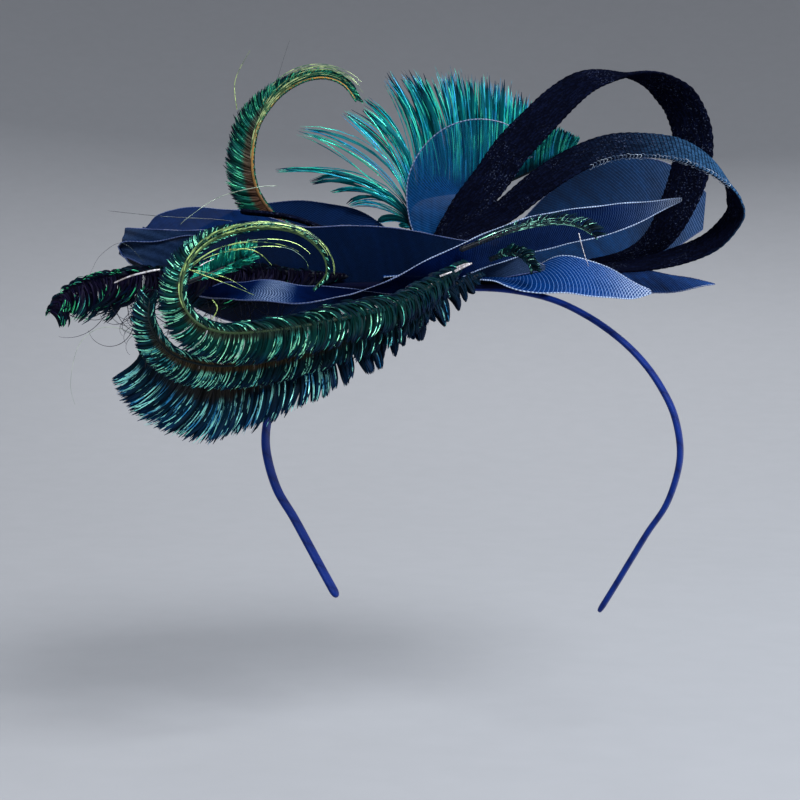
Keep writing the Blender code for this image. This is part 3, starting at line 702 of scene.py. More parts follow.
def joined(parts):
    """Several parts, each points, faces and values per point, as one."""
    points, faces, values, first = [], [], {}, 0
    for part in parts:
        points.append(part["points"].reshape(-1, 3))
        faces += [corners + first for corners in part["faces"]]
        for key, value in part["values"].items():
            values.setdefault(key, []).append(np.ravel(value))
        first += len(points[-1])
    values = {key: np.concatenate(value) for key, value in values.items()}
    return make_part(np.concatenate(points), faces, **values)


def add_piece(name, part, material, node=None, slot=None, turned=True):
    """A mesh object from points in millimetres, faces, and values per point.

    Values named u and v become its UV map and the rest become attributes.
    """
    mesh = bpy.data.meshes.new(name)
    corners = [np.asarray(group, np.int32) for group in part["faces"]]
    loops = np.concatenate([group.ravel() for group in corners])
    sizes = np.concatenate([np.full(len(group), group.shape[1]) for group in corners])
    mesh.vertices.add(len(part["points"].reshape(-1, 3)))
    mesh.vertices.foreach_set("co", in_metres(part["points"], turned).astype(np.float32).ravel())
    mesh.loops.add(len(loops))
    mesh.loops.foreach_set("vertex_index", loops)
    mesh.polygons.add(len(sizes))
    starts = np.concatenate([[0], np.cumsum(sizes)[:-1]]).astype(np.int32)
    mesh.polygons.foreach_set("loop_start", starts)
    mesh.update(calc_edges=True)
    values = {key: np.ravel(value) for key, value in part["values"].items()}
    if "u" in values:
        layer = mesh.uv_layers.new(name="UVMap")
        flat = np.stack([values.pop("u")[loops], values.pop("v")[loops]], axis=1)
        layer.data.foreach_set("uv", flat.astype(np.float32).ravel())
    for key, value in values.items():
        layer = mesh.attributes.new(key, "FLOAT", "POINT")
        layer.data.foreach_set("value", value.astype(np.float32))
    mesh.validate()
    mesh.shade_smooth()
    mesh.materials.append(material)
    piece = bpy.data.objects.new(name, mesh)
    bpy.context.scene.collection.objects.link(piece)
    if node or slot:
        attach(piece, "root")
    if node:
        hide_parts(node)
    return piece


def tubes(lines, radii, facing, sides=6):
    """Round tubes along lines of points, pinched shut at both ends.

    Each ring is a circle in the plane square to its line, of that point's radius.
    """
    ahead = unit(np.gradient(lines, axis=1))
    side = unit(np.cross(ahead, facing))
    front = np.cross(side, ahead)
    angles = circle(sides)
    radii = np.array(np.broadcast_to(radii, lines.shape[:2]), float)
    radii[:, [0, -1]] *= 0.05
    rings = (
        lines[:, :, None]
        + side[:, :, None] * (np.cos(angles)[:, None] * radii[:, :, None, None])
        + front[:, :, None] * (np.sin(angles)[:, None] * radii[:, :, None, None])
    )
    count, rows = lines.shape[:2]
    along = np.broadcast_to(np.linspace(0, 1, rows)[None, :, None], rings.shape[:3])
    return make_part(rings, [grids(count, rows, sides, wrap=True)[:, ::-1]], along=along)


def ribbons(lines, facing, widths, fold=0.3):
    """Thin ribbons along lines of points, with a shallow V for a section, as rows of points,
    their faces, and the lines' directions ahead, sideways and up."""
    ahead = unit(np.gradient(lines, axis=1))
    side = unit(np.cross(ahead, facing))
    front = np.cross(side, ahead)
    half = widths[..., None] / 2
    low = front * half * fold
    rows = np.stack([lines + side * half - low, lines, lines - side * half - low], axis=2)
    return rows, [grids(*rows.shape[:3])], (ahead, side, front)


# Shader nodes


def wire(tree, sockets, values):
    """Each named socket given a plain value or another node's output."""
    for key, value in values.items():
        if isinstance(value, bpy.types.NodeSocket):
            tree.links.new(value, sockets[key])
        else:
            sockets[key].default_value = value


def add_node(tree, kind, inputs, **settings):
    """A shader node with its settings and its inputs."""
    made = tree.nodes.new(kind)
    for key, value in settings.items():
        setattr(made, key, value)
    wire(tree, made.inputs, inputs)
    return made


def maths(tree, operation, *values):
    """The result of one sum on values or outputs."""
    inputs = dict(enumerate(values))
    return add_node(tree, "ShaderNodeMath", inputs, operation=operation).outputs[0]


def times(tree, first, second):
    """One value multiplied by another."""
    return maths(tree, "MULTIPLY", first, second)


def less(tree, first, second):
    """One value less another."""
    return maths(tree, "SUBTRACT", first, second)


def smooth_step(tree, value, low, high, start=0.0, end=1.0):
    """A value that goes smoothly from start to end as the input goes from low to high."""
    inputs = {"Value": value, "From Min": low, "From Max": high, "To Min": start, "To Max": end}
    made = add_node(tree, "ShaderNodeMapRange", inputs, interpolation_type="SMOOTHSTEP")
    return made.outputs["Result"]


def mixed(tree, share, first, second, blend="MIX"):
    """Two colours mixed by a share."""
    inputs = {0: share, 6: first, 7: second}
    return add_node(tree, "ShaderNodeMix", inputs, data_type="RGBA", blend_type=blend).outputs[2]


def linear(colour):
    """A colour given in 0 to 255 display values, as the light values that shaders take."""
    share = np.asarray(colour, float) / 255
    light = np.where(share <= 0.04045, share / 12.92, ((share + 0.055) / 1.055) ** 2.4)
    return (*light.tolist(), 1.0)


def shade_of(name):
    """One of the named shades, as light values."""
    return linear(SHADES[name])


def shaded(tree, colour, shade):
    """A colour made lighter or darker by a value."""
    grey = add_node(tree, "ShaderNodeCombineColor", {0: shade, 1: shade, 2: shade}).outputs[0]
    return mixed(tree, 1.0, colour, grey, "MULTIPLY")


def vector(tree, *values):
    """Up to three values as one vector."""
    return add_node(tree, "ShaderNodeCombineXYZ", dict(enumerate(values))).outputs[0]


def noise(tree, place, scale=1.0, detail=2.0, roughness=0.5):
    """A cloudy noise from 0 to 1."""
    inputs = {"Vector": place, "Scale": scale, "Detail": detail, "Roughness": roughness}
    return add_node(tree, "ShaderNodeTexNoise", inputs).outputs[0]


def object_place(tree):
    """Coordinates on the object, in metres."""
    return tree.nodes.new("ShaderNodeTexCoord").outputs["Object"]


def flat_place(tree):
    """The UV map's two numbers, millimetres along the cloth and across it."""
    place = tree.nodes.new("ShaderNodeUVMap")
    place.uv_map = "UVMap"
    parts = add_node(tree, "ShaderNodeSeparateXYZ", {0: place.outputs[0]})
    return parts.outputs[0], parts.outputs[1]


def attribute(tree, name):
    """One of the mesh's own values."""
    return add_node(tree, "ShaderNodeAttribute", {}, attribute_name=name).outputs["Fac"]


def bumped(tree, height, strength, depth):
    """The surface's normal, tilted by a height. Depth is in metres."""
    inputs = {"Height": height, "Strength": strength, "Distance": depth}
    return add_node(tree, "ShaderNodeBump", inputs).outputs[0]


def new_group(name, inputs, outputs):
    """An empty shader node group with these named inputs and outputs, each of its kind of socket,
    and the sockets inside it."""
    tree = bpy.data.node_groups.new(name, "ShaderNodeTree")
    for side, names in (("INPUT", inputs), ("OUTPUT", outputs)):
        for key, kind in names.items():
            tree.interface.new_socket(key, in_out=side, socket_type="NodeSocket" + kind)
    return tree, tree.nodes.new("NodeGroupInput").outputs, tree.nodes.new("NodeGroupOutput").inputs


def use_group(tree, group, inputs):
    """A group placed in a material with its own values."""
    return add_node(tree, "ShaderNodeGroup", inputs, node_tree=group).outputs


def new_material(name, **plain):
    """A material with one Principled shader, and the shader's plain values."""
    made = bpy.data.materials.new(name)
    made.use_nodes = True
    shader = made.node_tree.nodes["Principled BSDF"]
    for key, value in plain.items():
        shader.inputs[key.replace("_", " ")].default_value = value
    return made, made.node_tree, shader.inputs


# Effects that materials share


def make_thread_group():
    """Parallel threads. A thread lies where (along + slant x across + bow x across squared) over
    the pitch is near a whole number and a half, and its height falls away to both sides."""
    tree, given, out = new_group(
        "parallel threads",
        dict.fromkeys(("Along", "Across", "Pitch", "Slant", "Bow", "Fullness"), "Float"),
        dict.fromkeys(("Thread", "Height", "Number"), "Float"),
    )
    lean = maths(tree, "MULTIPLY_ADD", given["Across"], given["Slant"], given["Along"])
    square = times(tree, given["Across"], given["Across"])
    bent = maths(tree, "MULTIPLY_ADD", square, given["Bow"], lean)
    phase = maths(tree, "DIVIDE", bent, given["Pitch"])
    off = maths(tree, "ABSOLUTE", less(tree, maths(tree, "FRACT", phase), 0.5))
    half = times(tree, given["Fullness"], 0.5)
    share = maths(tree, "MINIMUM", maths(tree, "DIVIDE", off, half), 1.0)
    wire(tree, out, {
        "Thread": smooth_step(tree, off, times(tree, half, 0.6), half, 1.0, 0.0),
        "Height": maths(tree, "SQRT", less(tree, 1.0, times(tree, share, share))),
        "Number": maths(tree, "FLOOR", phase),
    })
    return tree


def barb_noise(tree, given, stretch, detail, roughness=0.5):
    """A noise on a barb's own numbers, each stretched: along it, its chance and its share."""
    names = ("Along", "Chance", "Share")
    place = [times(tree, given[name], by) for name, by in zip(names, stretch)]
    return noise(tree, vector(tree, *place), 1.0, detail, roughness)


def make_barb_group():
    """A barb's colour: root, body and tip colours in turn along it, each barb lighter or darker by
    its chance. Glints are painted highlights: dashes along the barb, where a noise stretched along
    it is high, and a second noise picks their colour. Liveliness is how strongly the painted glints
    show, and where it is low the barb's colour is darker too."""
    numbers = ("Along", "Chance", "Share", "Liveliness", "Dark share", "Root reach", "Tip from")
    colours = ("Root", "Body", "Tip", "Glint", "Second glint")
    tree, given, out = new_group(
        "barb colour",
        dict.fromkeys(numbers, "Float") | dict.fromkeys(colours, "Color"),
        {"Colour": "Color", "Glints": "Float"},
    )
    reach = maths(tree, "ADD", given["Root reach"], 0.2)
    from_root = smooth_step(tree, given["Along"], given["Root reach"], reach)
    to_tip = smooth_step(tree, given["Along"], given["Tip from"], 0.97)
    plain = mixed(tree, from_root, given["Root"], given["Body"])
    plain = mixed(tree, to_tip, plain, given["Tip"])
    shade = smooth_step(tree, given["Chance"], 0.0, 1.0, 0.35, 1.5)
    # Barbs are darker where their glints are weak.
    alive = maths(tree, "MULTIPLY_ADD", given["Liveliness"], 0.5, 0.5)
    plain = shaded(tree, plain, times(tree, shade, alive))
    # Painted highlights: glint dashes painted into the colour.
    dashes = smooth_step(tree, barb_noise(tree, given, (4.5, 90.0, 60.0), 2.0, 0.6), 0.40, 0.50)
    bright = times(tree, less(tree, 1.0, given["Dark share"]), given["Liveliness"])
    lively = maths(tree, "GREATER_THAN", given["Chance"], less(tree, 1.0, bright))
    glints = times(tree, times(tree, dashes, from_root), lively)
    second = smooth_step(tree, barb_noise(tree, given, (2.5, 3.0, 24.0), 1.0), 0.44, 0.6)
    glint = mixed(tree, second, given["Glint"], given["Second glint"])
    wire(tree, out, {"Colour": mixed(tree, glints, plain, glint), "Glints": glints})
    return tree


def make_grain_group():
    """Uneven fibre: a fine noise and a coarse one on the object, as a shade and a height."""
    tree, given, out = new_group(
        "fibre grain",
        {"Place": "Vector", "Fine scale": "Float", "Coarse scale": "Float", "Depth": "Float"},
        {"Shade": "Float", "Height": "Float"},
    )
    fine = noise(tree, given["Place"], given["Fine scale"], 3.0)
    coarse = noise(tree, given["Place"], given["Coarse scale"], 2.0)
    both = maths(tree, "ADD", times(tree, fine, 0.6), times(tree, coarse, 0.4))
    shade = maths(tree, "MULTIPLY_ADD", less(tree, both, 0.5), given["Depth"], 1.0)
    wire(tree, out, {"Shade": shade, "Height": both})
    return tree


THREADS = make_thread_group()
BARB_COLOUR = make_barb_group()
GRAIN = make_grain_group()


def threads(tree, along, across, pitch, slant, bow, full):
    """Parallel threads in a material. Pitch is in millimetres."""
    return use_group(tree, THREADS, {"Along": along, "Across": across, "Pitch": pitch,
                                     "Slant": slant, "Bow": bow, "Fullness": full})


def grain(tree, fine, coarse, depth):
    """Uneven fibre in a material, as fine and coarse as its two scales say."""
    return use_group(tree, GRAIN, {"Place": object_place(tree), "Fine scale": fine,
                                   "Coarse scale": coarse, "Depth": depth})


# Materials


def crin_material(name, look):
    """Stiff shiny mesh: two families of fine threads that cross, over partly clear gaps, with
    soft bands of light and shade across the cloth. The threads are painted paler as a highlight,
    and the painted light value paints more highlight where it is above 0 and shade below 0."""
    made, tree, shader = new_material(name, Roughness=0.6, Specular_IOR_Level=0.0)
    along, across = flat_place(tree)
    pitch, slant, bow = look["pitch"], look["slant"], look["bow"]
    first = threads(tree, along, across, pitch, slant, bow, look["full"])
    second = threads(tree, along, across, pitch * 0.9, -slant - 0.4, -bow, 0.5)
    fibre = grain(tree, 900.0, 60.0, 1.6)
    # The painted light value, made uneven by the grain: a painted highlight above 0, painted shade
    # below 0.
    sheen = times(tree, attribute(tree, "sheen"), fibre["Shade"])

    bands = noise(tree, vector(
        tree,
        maths(tree, "MULTIPLY_ADD", across, 0.08, times(tree, along, 0.3)),
        times(tree, across, 0.05),
    ), detail=1.5)
    depth = look["moire"] * 1.6
    shade = maths(tree, "MULTIPLY_ADD", bands, depth, 1.0 - depth / 2)
    shade = maths(tree, "MAXIMUM", times(tree, shade, fibre["Shade"]), 0.15)
    cloth = shaded(tree, linear(look["cloth"]), shade)
    # Painted highlight: the cloth is painted paler where the painted light value is above 0.
    cloth = mixed(tree, times(tree, sheen, 0.1), cloth, shade_of("thread_soft"))

    # Painted highlight: the threads are painted paler by lit and by the painted light value.
    shine = maths(tree, "MINIMUM", maths(tree, "ADD", sheen, look["lit"]), 1.0)
    shine = maths(tree, "MAXIMUM", shine, 0.0)
    pale = mixed(tree, sheen, shade_of("thread_low"), shade_of("thread_high"))
    colour = mixed(tree, times(tree, first["Thread"], shine), cloth, pale)
    # Painted highlight on the crossing threads as well.
    weak = times(tree, second["Thread"], 0.12 * look["lit"])
    colour = mixed(tree, weak, colour, shade_of("thread_cross"))
    cross = times(tree, times(tree, second["Thread"], sheen), 0.5)
    colour = mixed(tree, cross, colour, pale)
    # Painted shade: the colour is darker where the painted light value is below 0.
    colour = shaded(tree, colour, maths(tree, "ADD", 1.0, maths(tree, "MINIMUM", sheen, 0.0)))

    either = maths(tree, "MAXIMUM", first["Thread"], times(tree, second["Thread"], 0.8))
    either = times(tree, either, look["veil"])
    cover = attribute(tree, "cover")
    height = maths(tree, "MAXIMUM", first["Height"], second["Height"])
    wire(tree, shader, {
        "Base Color": colour,
        "Alpha": maths(tree, "MULTIPLY_ADD", either, less(tree, 1.0, cover), cover),
        "Normal": bumped(tree, height, 0.3, 0.0003),
    })
    return made


def crin_edge_material():
    """The bound edge of the mesh: a blue thread with a pale dot at each of its twists. The dots are
    painted glints, as strong as the painted light value says.
    """
    made, tree, shader = new_material("crin_edge_thread", Roughness=0.3, Specular_IOR_Level=0.5)
    twist = threads(tree, *flat_place(tree), EDGE_TWIST, 0.0, 0.0, 0.6)
    fibre = grain(tree, 1400.0, 70.0, 2.2)
    twist_glints = maths(tree, "MULTIPLY_ADD", twist["Thread"], 0.6, 0.25)
    twist_glints = times(tree, twist_glints, attribute(tree, "sheen"))
    colour = mixed(tree, twist_glints, shade_of("edge"), shade_of("edge_painted_glint"))
    wire(tree, shader, {"Base Color": shaded(tree, colour, fibre["Shade"])})
    return made


def braid_material():
    """Navy straw braid: ribs across the strap, crossed by finer threads along it, with each rib
    in its own shade and a few pale flecks, and a painted highlight on the ribs where the strap's
    painted light value is above 0."""
    made, tree, shader = new_material("navy_braid", Specular_IOR_Level=0.0)
    along, across = flat_place(tree)
    ribs = threads(tree, along, across, RIB_PITCH, 0.12, 0.0, 0.95)
    fine = threads(tree, across, along, 0.45, 0.04, 0.0, 0.9)
    cell = {"Vector": vector(tree, ribs["Number"], fine["Number"])}
    chance = add_node(tree, "ShaderNodeTexWhiteNoise", cell).outputs[0]
    fibre = grain(tree, 1200.0, 90.0, 1.4)
    pale = smooth_step(tree, chance, 0.4, 1.0)
    colour = mixed(tree, pale, shade_of("braid_dark"), shade_of("braid_light"))
    weft = times(tree, ribs["Thread"], maths(tree, "ADD", chance, 0.3))
    # Painted highlight: the ribs are painted paler where the strap's painted light value is above 0.
    painted_highlight = times(tree, weft, attribute(tree, "sheen"))
    colour = mixed(tree, painted_highlight, colour, shade_of("braid_painted_highlight"))
    specks = noise(tree, object_place(tree), 1500.0, 2.0, 0.7)
    patches = noise(tree, object_place(tree), 70.0, 1.0)
    flecks = times(tree, smooth_step(tree, specks, 0.60, 0.70),
                   smooth_step(tree, patches, 0.45, 0.6, 0.05, 0.6))
    colour = mixed(tree, flecks, colour, shade_of("braid_fleck"))
    height = maths(tree, "ADD", times(tree, ribs["Height"], 0.6), times(tree, fine["Height"], 0.4))
    wire(tree, shader, {
        "Base Color": shaded(tree, colour, fibre["Shade"]),
        "Roughness": smooth_step(tree, chance, 0.0, 1.0, 0.7, 0.5),
        "Normal": bumped(tree, height, 0.55, 0.00025),
    })
    return made


def satin_material():
    """Royal blue satin wound round the band: faint turns of the ribbon and a fine thread."""
    made, tree, shader = new_material("headband_satin", Roughness=0.42, Specular_IOR_Level=0.12)
    along, across = flat_place(tree)
    turns = threads(tree, along, across, 9.0, 0.6, 0.0, 1.0)
    thread = threads(tree, along, across, 0.35, 0.6, 0.0, 0.9)
    fibre = grain(tree, 700.0, 50.0, 0.7)
    colour = mixed(tree, turns["Height"], shade_of("satin_dark"), shade_of("satin_light"))
    height = maths(tree, "MULTIPLY_ADD", thread["Height"], 0.12, turns["Height"])
    wire(tree, shader, {"Base Color": shaded(tree, colour, fibre["Shade"]),
                        "Normal": bumped(tree, height, 0.35, 0.0004)})
    return made


def felt_material():
    """Dark navy felt: matted fibre with a soft sheen."""
    made, tree, shader = new_material("base_felt", Roughness=0.9, Specular_IOR_Level=0.05)
    fibre = grain(tree, 1800.0, 220.0, 1.6)
    wire(tree, shader, {"Base Color": shaded(tree, shade_of("felt"), fibre["Shade"]),
                        "Normal": bumped(tree, fibre["Height"], 0.6, 0.0004)})
    return made


def quill_material(name, root, tip):
    """A horny quill: one colour at the root and another at the tip, streaked along."""
    made, tree, shader = new_material(name, Roughness=0.4, Specular_IOR_Level=0.15)
    fibre = grain(tree, 1600.0, 200.0, 1.2)
    share = smooth_step(tree, attribute(tree, "along"), 0.15, 0.7)
    colour = mixed(tree, share, linear(root), linear(tip))
    wire(tree, shader, {"Base Color": shaded(tree, colour, fibre["Shade"]),
                        "Normal": bumped(tree, fibre["Height"], 0.4, 0.0002)})
    return made


def barb_material(name, colours, look):
    """Iridescent barbs: dark metal-like colours that shift where the surface turns away, with
    broken bright glints painted into the colour as highlights."""
    made, tree, shader = new_material(name, Metallic=0.3)
    root, body, tip, glint, second = (
        linear(colours[key]) for key in ("root", "body", "tip", "glint", "glint_b"))
    own = {key.capitalize(): attribute(tree, key)
           for key in ("along", "chance", "share", "liveliness")}
    barb = use_group(tree, BARB_COLOUR, own | {
        "Root": mixed(tree, attribute(tree, "brown"), body, root), "Body": body, "Tip": tip,
        "Glint": glint, "Second glint": second, "Dark share": look["dark"],
        "Root reach": look["rooty"], "Tip from": look["tip_from"],
    })
    facing = add_node(tree, "ShaderNodeLayerWeight", {"Blend": 0.3}).outputs["Facing"]
    turned = times(tree, facing, 0.25)
    wire(tree, shader, {
        "Base Color": mixed(tree, turned, barb["Colour"], shade_of("barb_turned")),
        "Roughness": smooth_step(tree, barb["Glints"], 0.0, 1.0, 0.5, 0.3),
        "Specular IOR Level": smooth_step(tree, barb["Glints"], 0.0, 1.0, 0.08, 0.45),
    })
    return made


def filament_material(name, colour, pale):
    """Bare shiny filaments, brighter in dashes along them that are painted highlights."""
    made, tree, shader = new_material(name, Roughness=0.25, Specular_IOR_Level=0.7, Metallic=0.3)
    place = vector(tree, times(tree, attribute(tree, "along"), 14.0),
                   times(tree, attribute(tree, "chance"), 70.0))
    dashes = smooth_step(tree, noise(tree, place), 0.42, 0.62)
    wire(tree, shader, {"Base Color": mixed(tree, dashes, linear(colour), linear(pale))})
    return made


# Pieces


def add_headband():
    """A rounded flat section swept along the band's outline. Both ends round off as a half circle
    of the band's width does."""
    half_x, half_z = (np.array(BAND_OUTLINE[axis], float) for axis in "xz")
    flat = np.zeros(2 * len(half_x) - 1)
    table = {
        "x": np.concatenate([-half_x[:0:-1], half_x]),
        "z": np.concatenate([half_z[:0:-1], half_z]) + BAND_THICKNESS / 2,
        "y": flat,
        "turn": flat,
    }
    length = line_length(table)[0]
    ends = BAND_WIDTH / 2 * (1 - np.cos(np.linspace(0, math.pi / 2, 9)))
    run = np.concatenate([ends, np.linspace(ends[-1], length - ends[-1], BAND_STATIONS)[1:-1],
                          length - ends[::-1]])
    inset = np.minimum(np.minimum(run, length - run) / (BAND_WIDTH / 2), 1)
    swell = np.sqrt(np.maximum(1 - (1 - inset) ** 2, 0.0004))[:, None]
    points, _, across, normal = frames_at(table, even_places(table, run / length))
    cos, sin = np.cos(circle(BAND_SIDES)), np.sin(circle(BAND_SIDES))
    side = np.sign(cos) * np.abs(cos) ** BAND_SQUARE_ACROSS * BAND_WIDTH / 2
    rise = np.sign(sin) * np.abs(sin) ** BAND_SQUARE_THROUGH * BAND_THICKNESS / 2
    rings = (points[:, None] + across[:, None] * (side * swell)[..., None]
             + normal[:, None] * (rise * swell**BAND_END_POWER)[..., None])
    around = np.concatenate([[0], np.cumsum(np.hypot(np.diff(side), np.diff(rise)))])
    part = make_part(rings, [grid(*rings.shape[:2], wrap=True)],
                     u=np.repeat(run, BAND_SIDES), v=np.tile(around, len(run)))
    add_piece("headband_cover", part, satin_material(), "headband", "satin_blue", turned=False)


def add_base():
    """A shallow oval dome: its height falls with the square of the way out, and its rim is
    rounded over as half a circle."""
    spokes = circle(BASE_SPOKES)
    shares = np.linspace(0.02, BASE_RIM, BASE_RINGS)
    turns = np.linspace(math.pi / 2, -math.pi / 2, 9)[1:-1]
    half = BASE_THICKNESS / 2
    out = np.concatenate([shares, BASE_RIM + (1 - BASE_RIM) * np.cos(turns), shares[::-1]])
    drop = np.concatenate([np.zeros(BASE_RINGS), half * (1 - np.sin(turns)),
                           np.full(BASE_RINGS, 2 * half)])
    high = BASE_CROWN - BASE_SAG * out**2 - drop
    points = np.stack([
        BASE_CENTRE[0] + BASE_HALF_LENGTH * out[:, None] * np.cos(spokes),
        BASE_CENTRE[1] + BASE_HALF_DEPTH * out[:, None] * np.sin(spokes),
        spread(high, (len(out), BASE_SPOKES)),
    ], axis=-1)
    ring = np.arange(BASE_SPOKES)[None]
    caps = [ring, ((len(out) - 1) * BASE_SPOKES + ring)[:, ::-1]]
    part = make_part(points, [grid(len(out), BASE_SPOKES, wrap=True)[:, ::-1]] + caps)
    add_piece("base_felt_dome", part, felt_material(), "base", "base_navy")


def add_sheet(name):
    """One crinoline sheet: straight lanes across a turning middle line, with soft pleats that
    die away from its gathered root, and a bound thread along both edges."""
    table, look = SHEETS[name], CRIN_USUAL | CRIN_LOOKS[name]
    run, places, (points, _, across, normal) = stations_along(table, SHEET_STATIONS)
    length = run[-1]
    half = through(table["width"], places)[:, None] / 2
    lane = np.linspace(-1, 1, SHEET_LANES)[None]
    side = lane * half
    sway = PLEAT_SWAY * np.sin(run * PLEAT_SWAY_RATE)[:, None]
    pleats = PLEAT_HEIGHT * np.sin(side * PLEAT_TIGHTNESS + sway)
    pleats = pleats * np.exp(-run / PLEAT_FADE)[:, None]
    ripple = RIPPLE_HEIGHT * np.sin(run * RIPPLE_RATE)[:, None] * np.abs(lane) ** 3
    surface = points[:, None] + across[:, None] * side[..., None]
    surface = surface + normal[:, None] * (pleats + ripple)[..., None]
    # Each point carries its cover and its painted light value, which paints highlight above 0 and
    # shade below 0.
    part = make_part(
        surface, [grid(SHEET_STATIONS, SHEET_LANES)], u=np.repeat(run, SHEET_LANES), v=side,
        sheen=np.repeat(through(look["sheen"], run / length), SHEET_LANES),
        cover=np.repeat(through(look["cover"], run / length), SHEET_LANES),
    )
    node = table.get("node", name)
    cloth = crin_material(name + "_weave", look)
    piece = add_piece(name + "_mesh", part, cloth, node, "crin_blue")

    edges = surface[:, [0, -1]].transpose(1, 0, 2)
    beads = EDGE_RADIUS + EDGE_SWELL * np.sin(run * 2 * math.pi / EDGE_TWIST)
    thread = tubes(edges, beads[None], np.repeat(normal[None], 2, axis=0))
    shape = thread["points"].shape[:3]
    # The edge thread's painted glints: how strong they are along it.
    pale = through(look["edge"], run / length)
    thread["values"] = {"u": spread(run[None], shape), "v": np.zeros(shape),
                        "sheen": spread(pale[None], shape)}
    edge = add_piece(name + "_edge", thread, CRIN_EDGE, node, "crin_blue")
    area = (half[1:, 0] + half[:-1, 0]) @ np.diff(run) * MM * MM


def add_braid(name):
    """One woven strap: a flat rounded section carried along its turning line, with a low relief
    of ribs, and edges that scallop with them."""
    run, places, (points, _, across, normal) = stations_along(BRAIDS[name], BRAID_STATIONS)
    share = np.sin(np.linspace(-math.pi / 2, math.pi / 2, BRAID_LANES))
    ribs = np.sin(run * TAU / RIB_PITCH)[:, None]
    side = share * (BRAID_WIDTH / 2 + SCALLOP_DEPTH * np.sin(run * TAU / (2 * RIB_PITCH))[:, None])
    rise = BRAID_THICKNESS / 2 * (1 - np.abs(share) ** 6) ** 0.5
    plait = PLAIT_DEPTH * ribs * np.sin(side * TAU / (2 * RIB_PITCH))
    middle = points[:, None] + across[:, None] * side[..., None]
    upper = middle + normal[:, None] * (rise + plait * rise)[..., None]
    lower = middle - normal[:, None] * (rise - plait * rise)[..., None]
    rings = np.concatenate([upper, lower[:, -2:0:-1]], axis=1)
    rows, columns = rings.shape[:2]
    ring = np.arange(columns)[None]
    # The painted highlight lies on the strap's outer face only.
    sheen = through(BRAID_PAINTED_LIGHT[name], run / run[-1])[:, None] * (ring < BRAID_LANES)
    part = make_part(
        rings,
        [grid(rows, columns, wrap=True), ring[:, ::-1], (rows - 1) * columns + ring],
        u=np.repeat(run, columns),
        v=np.concatenate([side, side[:, -2:0:-1] + 2 * BRAID_WIDTH], axis=1),
        sheen=sheen,
    )
    add_piece(name + "_weave", part, BRAID, name, "braid_navy")


def add_selvage():
    """Pale thread that loops over the front strap's lower edge where it arches over: it circles
    the edge once a pitch, by an uneven amount, and leans forward and back twice as often."""
    table = BRAIDS["braid_front_loop"]
    length = line_length(table)[0]
    run = np.linspace(*SELVAGE["reach"], 900) * length
    points, ahead, across, normal = frames_at(table, even_places(table, run / length))
    phase = (run * TAU / SELVAGE["pitch"])[:, None]
    uneven = 1 + 0.35 * np.sin(phase * 0.37) * np.sin(phase * 0.113)
    out = BRAID_WIDTH / 2 - SELVAGE["inset"] + SELVAGE["swing"] * uneven * np.sin(phase)
    line = (points + across * SELVAGE["side"] * out
            + normal * (SELVAGE["rise"] * uneven * np.cos(phase)))
    line = line + ahead * SELVAGE["lean"] * np.sin(2 * phase)
    part = tubes(line[None], np.full((1, len(run)), SELVAGE["thick"] / 2), normal[None])
    part["values"]["chance"] = np.full(part["points"].shape[:3], 0.4)
    add_piece("braid_front_loop_selvage", part, SELVAGE_THREAD, "braid_front_loop", "braid_navy")


def quill_radius(share):
    """A quill's radius along its length, in millimetres."""
    return (QUILL_ROOT + (QUILL_TIP - QUILL_ROOT) * share**0.8) / 2


